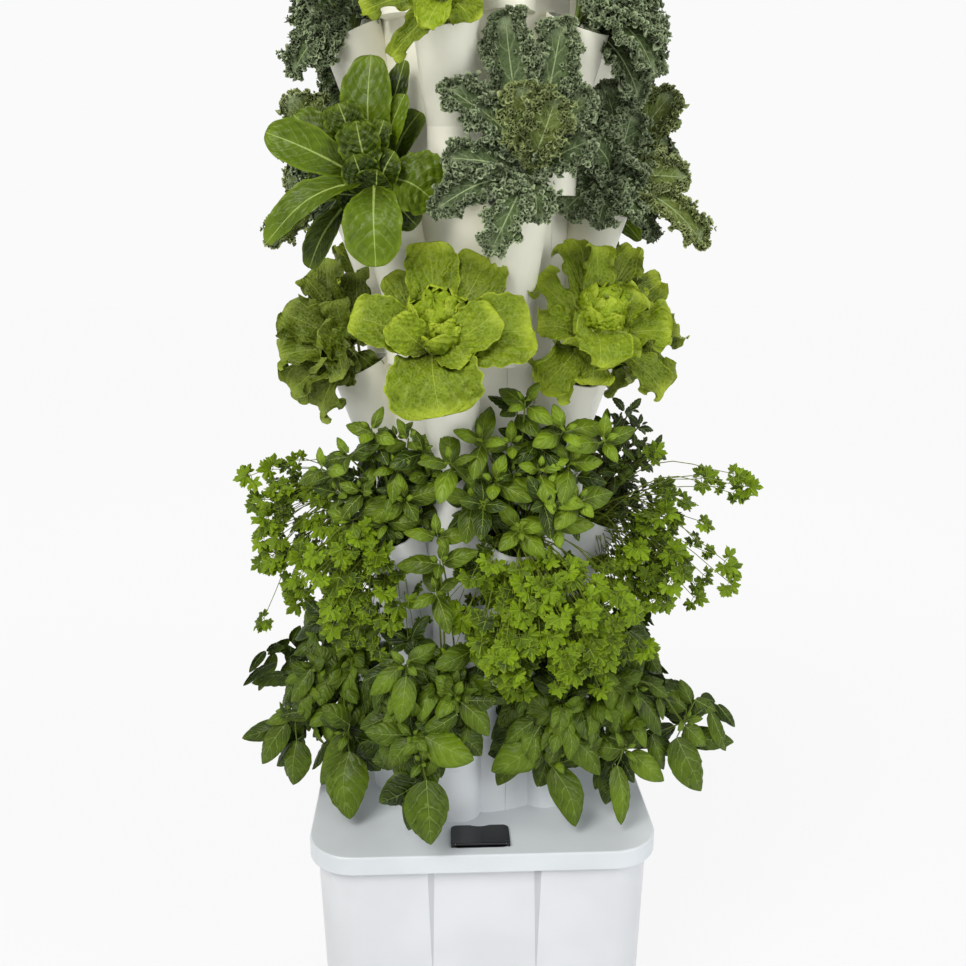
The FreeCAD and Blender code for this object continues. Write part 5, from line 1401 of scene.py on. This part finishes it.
def grow_cilantro(name, seed, turn, places, mass, size=0.0170, tone=0.6, fill=2):
    """Cilantro whose leaves sit at the written places, with ones between them that are darker as painted
    shade.

    A mass is the middle, the half size and the number of the leaves that fill a round region."""
    plant = Foliage(seed)
    way = unit(pocket_way(turn))
    for right, front, up in places:
        foot = -PLUG_DEPTH * way + plant.rng.normal(0, 0.006, 3)
        place = in_pocket(right, front, up) + plant.rng.normal(0, 0.003, 3)
        add_frond(plant, foot, place, size * plant.rng.uniform(0.8, 1.2), way,
                  tone + plant.rng.normal(0, 0.12))
        for inner in between(plant, foot, place, fill):
            # low tone: painted shade for the inner leaves
            add_frond(plant, foot, inner, size * plant.rng.uniform(0.6, 0.9), way,
                      plant.rng.uniform(-0.1, 0.35))
    middle, half_size, number = mass
    for _ in range(number):
        place = in_pocket(*(np.array(middle) + ball(plant.rng) * half_size))
        foot = -PLUG_DEPTH * way + plant.rng.normal(0, 0.006, 3)
        # painted shade: a leaf of the mass is brighter the nearer it is to the front
        front = 0.5 + (place @ np.array((0, -100, 0)) - middle[1]) / half_size[1] / 2
        add_frond(plant, foot, place, size * plant.rng.uniform(0.8, 1.15), way,
                  plant.rng.uniform(-0.1, 0.3) + 0.6 * front)
    keep_plant(name, plant, turn, "cilantro")


# %% [markdown]
# ## Small basil and mint
# Young basil with short, bright leaves stands on the left and in the middle. The
# mint at the right edge has leaves half as long, toothed and darker, and twice
# as many shoots between the written ones.

# %% Small basil and mint
grow_shoots("small_basil_left", 31, -45, [
    (-2.2, 4.0, 13.8), (4.1, 4.0, 11.2), (-5.4, 3.0, 10.6), (0.6, 4.0, 9.3), (1.7, 4.5, 5.3),
    (-0.8, 4.5, 2.4), (-3.7, 4.0, 6.3), (4.8, 3.5, 8.1), (-5.0, 4.0, 2.5), (-8.5, 3.0, 8.8),
    (2.2, 3.0, 12.4), (-1.4, 2.0, 11.0), (3.2, 3.0, 2.8), (-6.8, 2.0, 5.6),
], 0.040, "basil", "small_basil", 0.5)
grow_shoots("small_basil_middle", 32, 15, [
    (0.7, 4.0, 17.7), (10.1, 4.0, 13.0), (-2.9, 4.0, 8.3), (2.6, 4.0, 9.6), (3.4, 4.5, 6.8),
    (-8.1, 4.0, 10.5), (0.2, 4.0, 2.2), (7.3, 4.0, 5.8), (5.4, 3.5, 14.2), (-4.5, 3.5, 13.1),
    (6.4, 3.0, 10.2), (-0.8, 3.0, 12.6), (-5.6, 4.0, 6.0), (4.6, 3.0, 2.6),
], 0.044, "basil", "small_basil", 0.72)
grow_shoots("mint", 33, 75, [
    (5.2, 4.0, 12.7), (7.3, 3.0, 9.5), (3.9, 4.0, 14.7), (2.8, 4.0, 6.9), (6.8, 3.5, 4.2),
    (9.0, 3.0, 0.6), (5.4, 4.5, 8.4), (1.4, 3.0, 10.6), (4.4, 4.5, 2.2),
], 0.024, "mint", "mint", 0.35, pairs=3, fill=4)

# %% [markdown]
# ## Cilantro around the second tier
# Four plants of cilantro stand between the others, one of them far to the left
# and turned away. Their outer leaves hang free on thin stems and give the plant
# its outline, so these are written out. The masses fill what is inside.

# %% Cilantro
grow_cilantro("cilantro_far_left", 34, -105, [
    (-15.7, 3, 4.6), (-12.3, 3, 5.3), (-14.2, 3, 1.1), (-11.9, 3, -1), (-8.8, 3, 6.6), (-15.2, 3, 0.4),
    (-10.4, 3, 2.5), (-14.2, 3, -7.5), (-10.8, 3, -9.7), (-14.4, 3, -15.8), (-9.6, 3, -13.4),
    (-6.6, 3, -7.6), (-4.5, 3, -6.1), (-7.8, 3, -1.8), (-5, 3, 1), (-3.2, 3, -9.8), (-9.3, 3, -4.6),
    (-6.9, 3, -14.9), (-11.4, 3, -5.3),
], mass=((-9.5, 3, -4), (6, 3, 9), 26))
grow_cilantro("cilantro_left", 35, -45, [
    (-7.6, 4, -2.5), (-5, 4, -4.5), (-5.3, 4, -7.8), (-2.7, 4, -2.6), (-6.1, 4, -11.7),
    (-0.4, 4, -10.5), (-1.7, 4, -13.8), (0.9, 4, -7.9), (-4.2, 4, -13.1), (-7.8, 4, -7.7),
    (-9.5, 4, -2.5), (0.3, 4, -4.6), (-6.3, 4, 0), (2, 4, -13.2),
], tone=0.4, mass=((-5.5, 4, -4.5), (5.5, 3, 8), 34))
grow_cilantro("cilantro_middle", 36, 15, [
    (-3.3, 3, -3.7), (-2.1, 3, -5.7), (-6.7, 3, -8.8), (-8.2, 3, -7.5), (-4.5, 3, -10.8),
    (4.1, 3, -7.1), (9, 3, -7.8), (13.3, 3, -7.2), (-5.7, 3, -13.4), (-2, 3, -15.4), (1.7, 3, -13.5),
    (5.5, 3, -17.6), (9.2, 3, -15), (0.5, 3, -18.8), (5.4, 3, -12.3), (11.6, 3, -12.4), (2.9, 3, -9.6),
    (10.5, 3, -19), (-8.2, 3, -14.7), (15.3, 3, -12.5), (0.4, 3, -7), (7.1, 3, -3.3), (-3, 5, -1),
    (0, 5, -2), (3, 5, -1.5), (6, 5, -2), (-5.6, 5, -3.2), (9, 5, -4.5), (1.5, 6, -4), (4.5, 6, -4.5),
], size=0.0185, mass=((4.6, 6, -9.6), (10.0, 3, 7.4), 74))
grow_cilantro("cilantro_right", 37, 75, [
    (13.3, 4, 5.4), (16.1, 10, 8), (16.9, 10, 5.5), (15.2, 10, -3.5), (16.3, 10, -6.9),
    (14.6, 4, -7.5), (13.4, 4, -11), (11.2, 4, -5.4), (3.4, 4, -13.6), (8.7, 4, -10.9), (5.8, 4, -5.3),
    (13.6, 4, 0.1), (10.8, 4, 2.8), (7.1, 4, -2.6), (3.2, 4, -5.3), (0.6, 4, -5.2), (6.7, 4, 8.5),
    (8.8, 4, 2.8), (6, 4, -9.4), (0.7, 4, -9.4),
], mass=((6.5, 6, -4.5), (6, 3, 8.0), 34))

# %% [markdown]
# ## A sprig before the valley
# One sprig of basil grows out of the lowest tier and up past the pockets of the
# second one, where it stands alone before the white plastic.

# %% Basil sprig
grow_shoots("basil_sprig", 38, -15, [(-1.5, 3.0, 21.5), (-1.6, 3.6, 14.5), (-1.2, 3.8, 18.4)], 0.041,
            "basil", "small_basil", 0.5, fill=0)

# %% [markdown]
# ## Pockets around the tower
# The pockets of odd tiers start 15 degrees left of the front, those of even
# tiers 15 degrees right of it, with one every 60 degrees. A plant's mesh is
# shared by all its copies: an object only turns it to its pocket and moves it
# there. Plants at the back repeat the ones seen in front. The plants of the top
# tier ride on their own lifting cups, all others on the tower.

# %% Where the pockets are
COLUMN_FOOT, TIER_HEIGHT, MOUTH_IN_TIER = 0.331, 0.2, 0.1905
MOUTH_REACH = 0.1575
MOUTH_HEIGHTS = [COLUMN_FOOT + TIER_HEIGHT * tier + MOUTH_IN_TIER for tier in range(6)]
TOP_TIER_SIZE = 0.85


def pocket_turn(tier, k):
    """The turn of pocket k of a tier about the tower's axis, from the front, in radians."""
    return math.radians((-15 if tier % 2 else 15) + 60 * k)


def mouth(tier, k):
    """The middle of a pocket's mouth."""
    turn = pocket_turn(tier, k)
    return MOUTH_REACH * math.sin(turn), -MOUTH_REACH * math.cos(turn), MOUTH_HEIGHTS[tier - 1]


print("mouths at heights", [round(height, 3) for height in MOUTH_HEIGHTS])

# %% [markdown]
# ## Which plant goes where
# The table names the plants for the pockets that are seen, by tier and by pocket,
# counted from the front to the right. The pockets at the back take the plants of
# the pocket in front that stands three places further round.

# %% Planting
PLANTING = {
    1: {5: ["basil_left"], 0: ["basil_middle", "basil_sprig"], 1: ["basil_right"]},
    2: {5: ["small_basil_left", "cilantro_left"], 0: ["small_basil_middle", "cilantro_middle"],
        1: ["cilantro_right", "mint"], 4: ["cilantro_far_left"]},
    3: {5: ["ruffled_left"], 0: ["butterhead"], 1: ["ruffled_right"]},
    4: {5: ["romaine"], 0: ["kale_middle"], 1: ["kale_right"]},
    5: {5: ["kale_upper_left"], 0: ["loose_leaf"], 1: ["kale_upper_right"]},
    6: {5: ["romaine"], 0: ["loose_leaf"], 1: ["kale_upper_right"]},
}
REAR = {3: 0, 4: 1, 2: 5}


def plant_in(template, tier, k):
    """One copy of a plant in pocket k of a tier."""
    mesh, seen_turn = templates[template]
    piece = bpy.data.objects.new("%s_%d_%d" % (template, tier, k), mesh)
    scene.collection.objects.link(piece)
    piece.location = mouth(tier, k)
    piece.rotation_euler = (0.0, 0.0, pocket_turn(tier, k) - math.radians(seen_turn))
    if tier == 6:
        piece.scale = (TOP_TIER_SIZE, TOP_TIER_SIZE, TOP_TIER_SIZE)
    return piece


planted = 0
for tier in range(1, 7):
    for k in range(6):
        for name in PLANTING[tier].get(k) or PLANTING[tier][REAR[k]]:
            piece = plant_in(name, tier, k)
            planted += 1
            if tier < 6:
                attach(piece, "tower")
                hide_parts("plants_tier_%d" % tier)
            else:
                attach(piece, "planted_cup_%d" % (k + 1))
                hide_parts("plug_and_plant_6_%d" % (k + 1))
print("plants:", planted)


# %% [markdown]
# ## Sponge plugs of the top tier
# The top tier's cups carry plug and plant as one solid in the CAD model. The
# plants above stand for it, so each of these cups gets a plug of its own: a
# turned profile, slightly waisted, with a rounded rim and a rough top.

# %% Plugs
def turned(name, profile, sides=40):
    """A body turned about Z from (radius, height) points."""
    angle = np.linspace(0, 2 * math.pi, sides, endpoint=False)
    ring = np.stack([np.cos(angle), np.sin(angle)], 1)
    points = [(*(ring[i] * r), z) for r, z in profile for i in range(sides)]
    faces = []
    for row in range(len(profile) - 1):
        for i in range(sides):
            j = (i + 1) % sides
            a = row * sides
            faces.append((a + i, a + j, a + sides + j, a + sides + i))
    mesh = bpy.data.meshes.new(name)
    mesh.from_pydata(points, [], faces)
    mesh.polygons.foreach_set("use_smooth", np.ones(len(mesh.polygons), bool))
    return mesh


PLUG_PROFILE = [(0.0001, -0.034), (0.018, -0.034), (0.0195, -0.032), (0.0215, -0.004), (0.0212, -0.0015),
                (0.0195, 0.0), (0.012, 0.0004), (0.006, -0.0004), (0.0001, -0.0006)]
POCKET_LEAN = math.radians(25)

plug_mesh = turned("plug", PLUG_PROFILE)
plug_mesh.materials.append(sponge)
for k in range(6):
    turn = pocket_turn(6, k)
    axis = Vector((math.sin(turn) * math.sin(POCKET_LEAN), -math.cos(turn) * math.sin(POCKET_LEAN),
                   math.cos(POCKET_LEAN)))
    plug = bpy.data.objects.new("plug_6_%d" % (k + 1), plug_mesh)
    scene.collection.objects.link(plug)
    plug.location = Vector(mouth(6, k)) - PLUG_DEPTH * axis
    plug.rotation_euler = axis.to_track_quat("Z", "Y").to_euler()
    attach(plug, "planted_cup_%d" % (k + 1))
    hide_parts("plug_and_plant_6_%d" % (k + 1))
print("plugs in the top tier: 6")
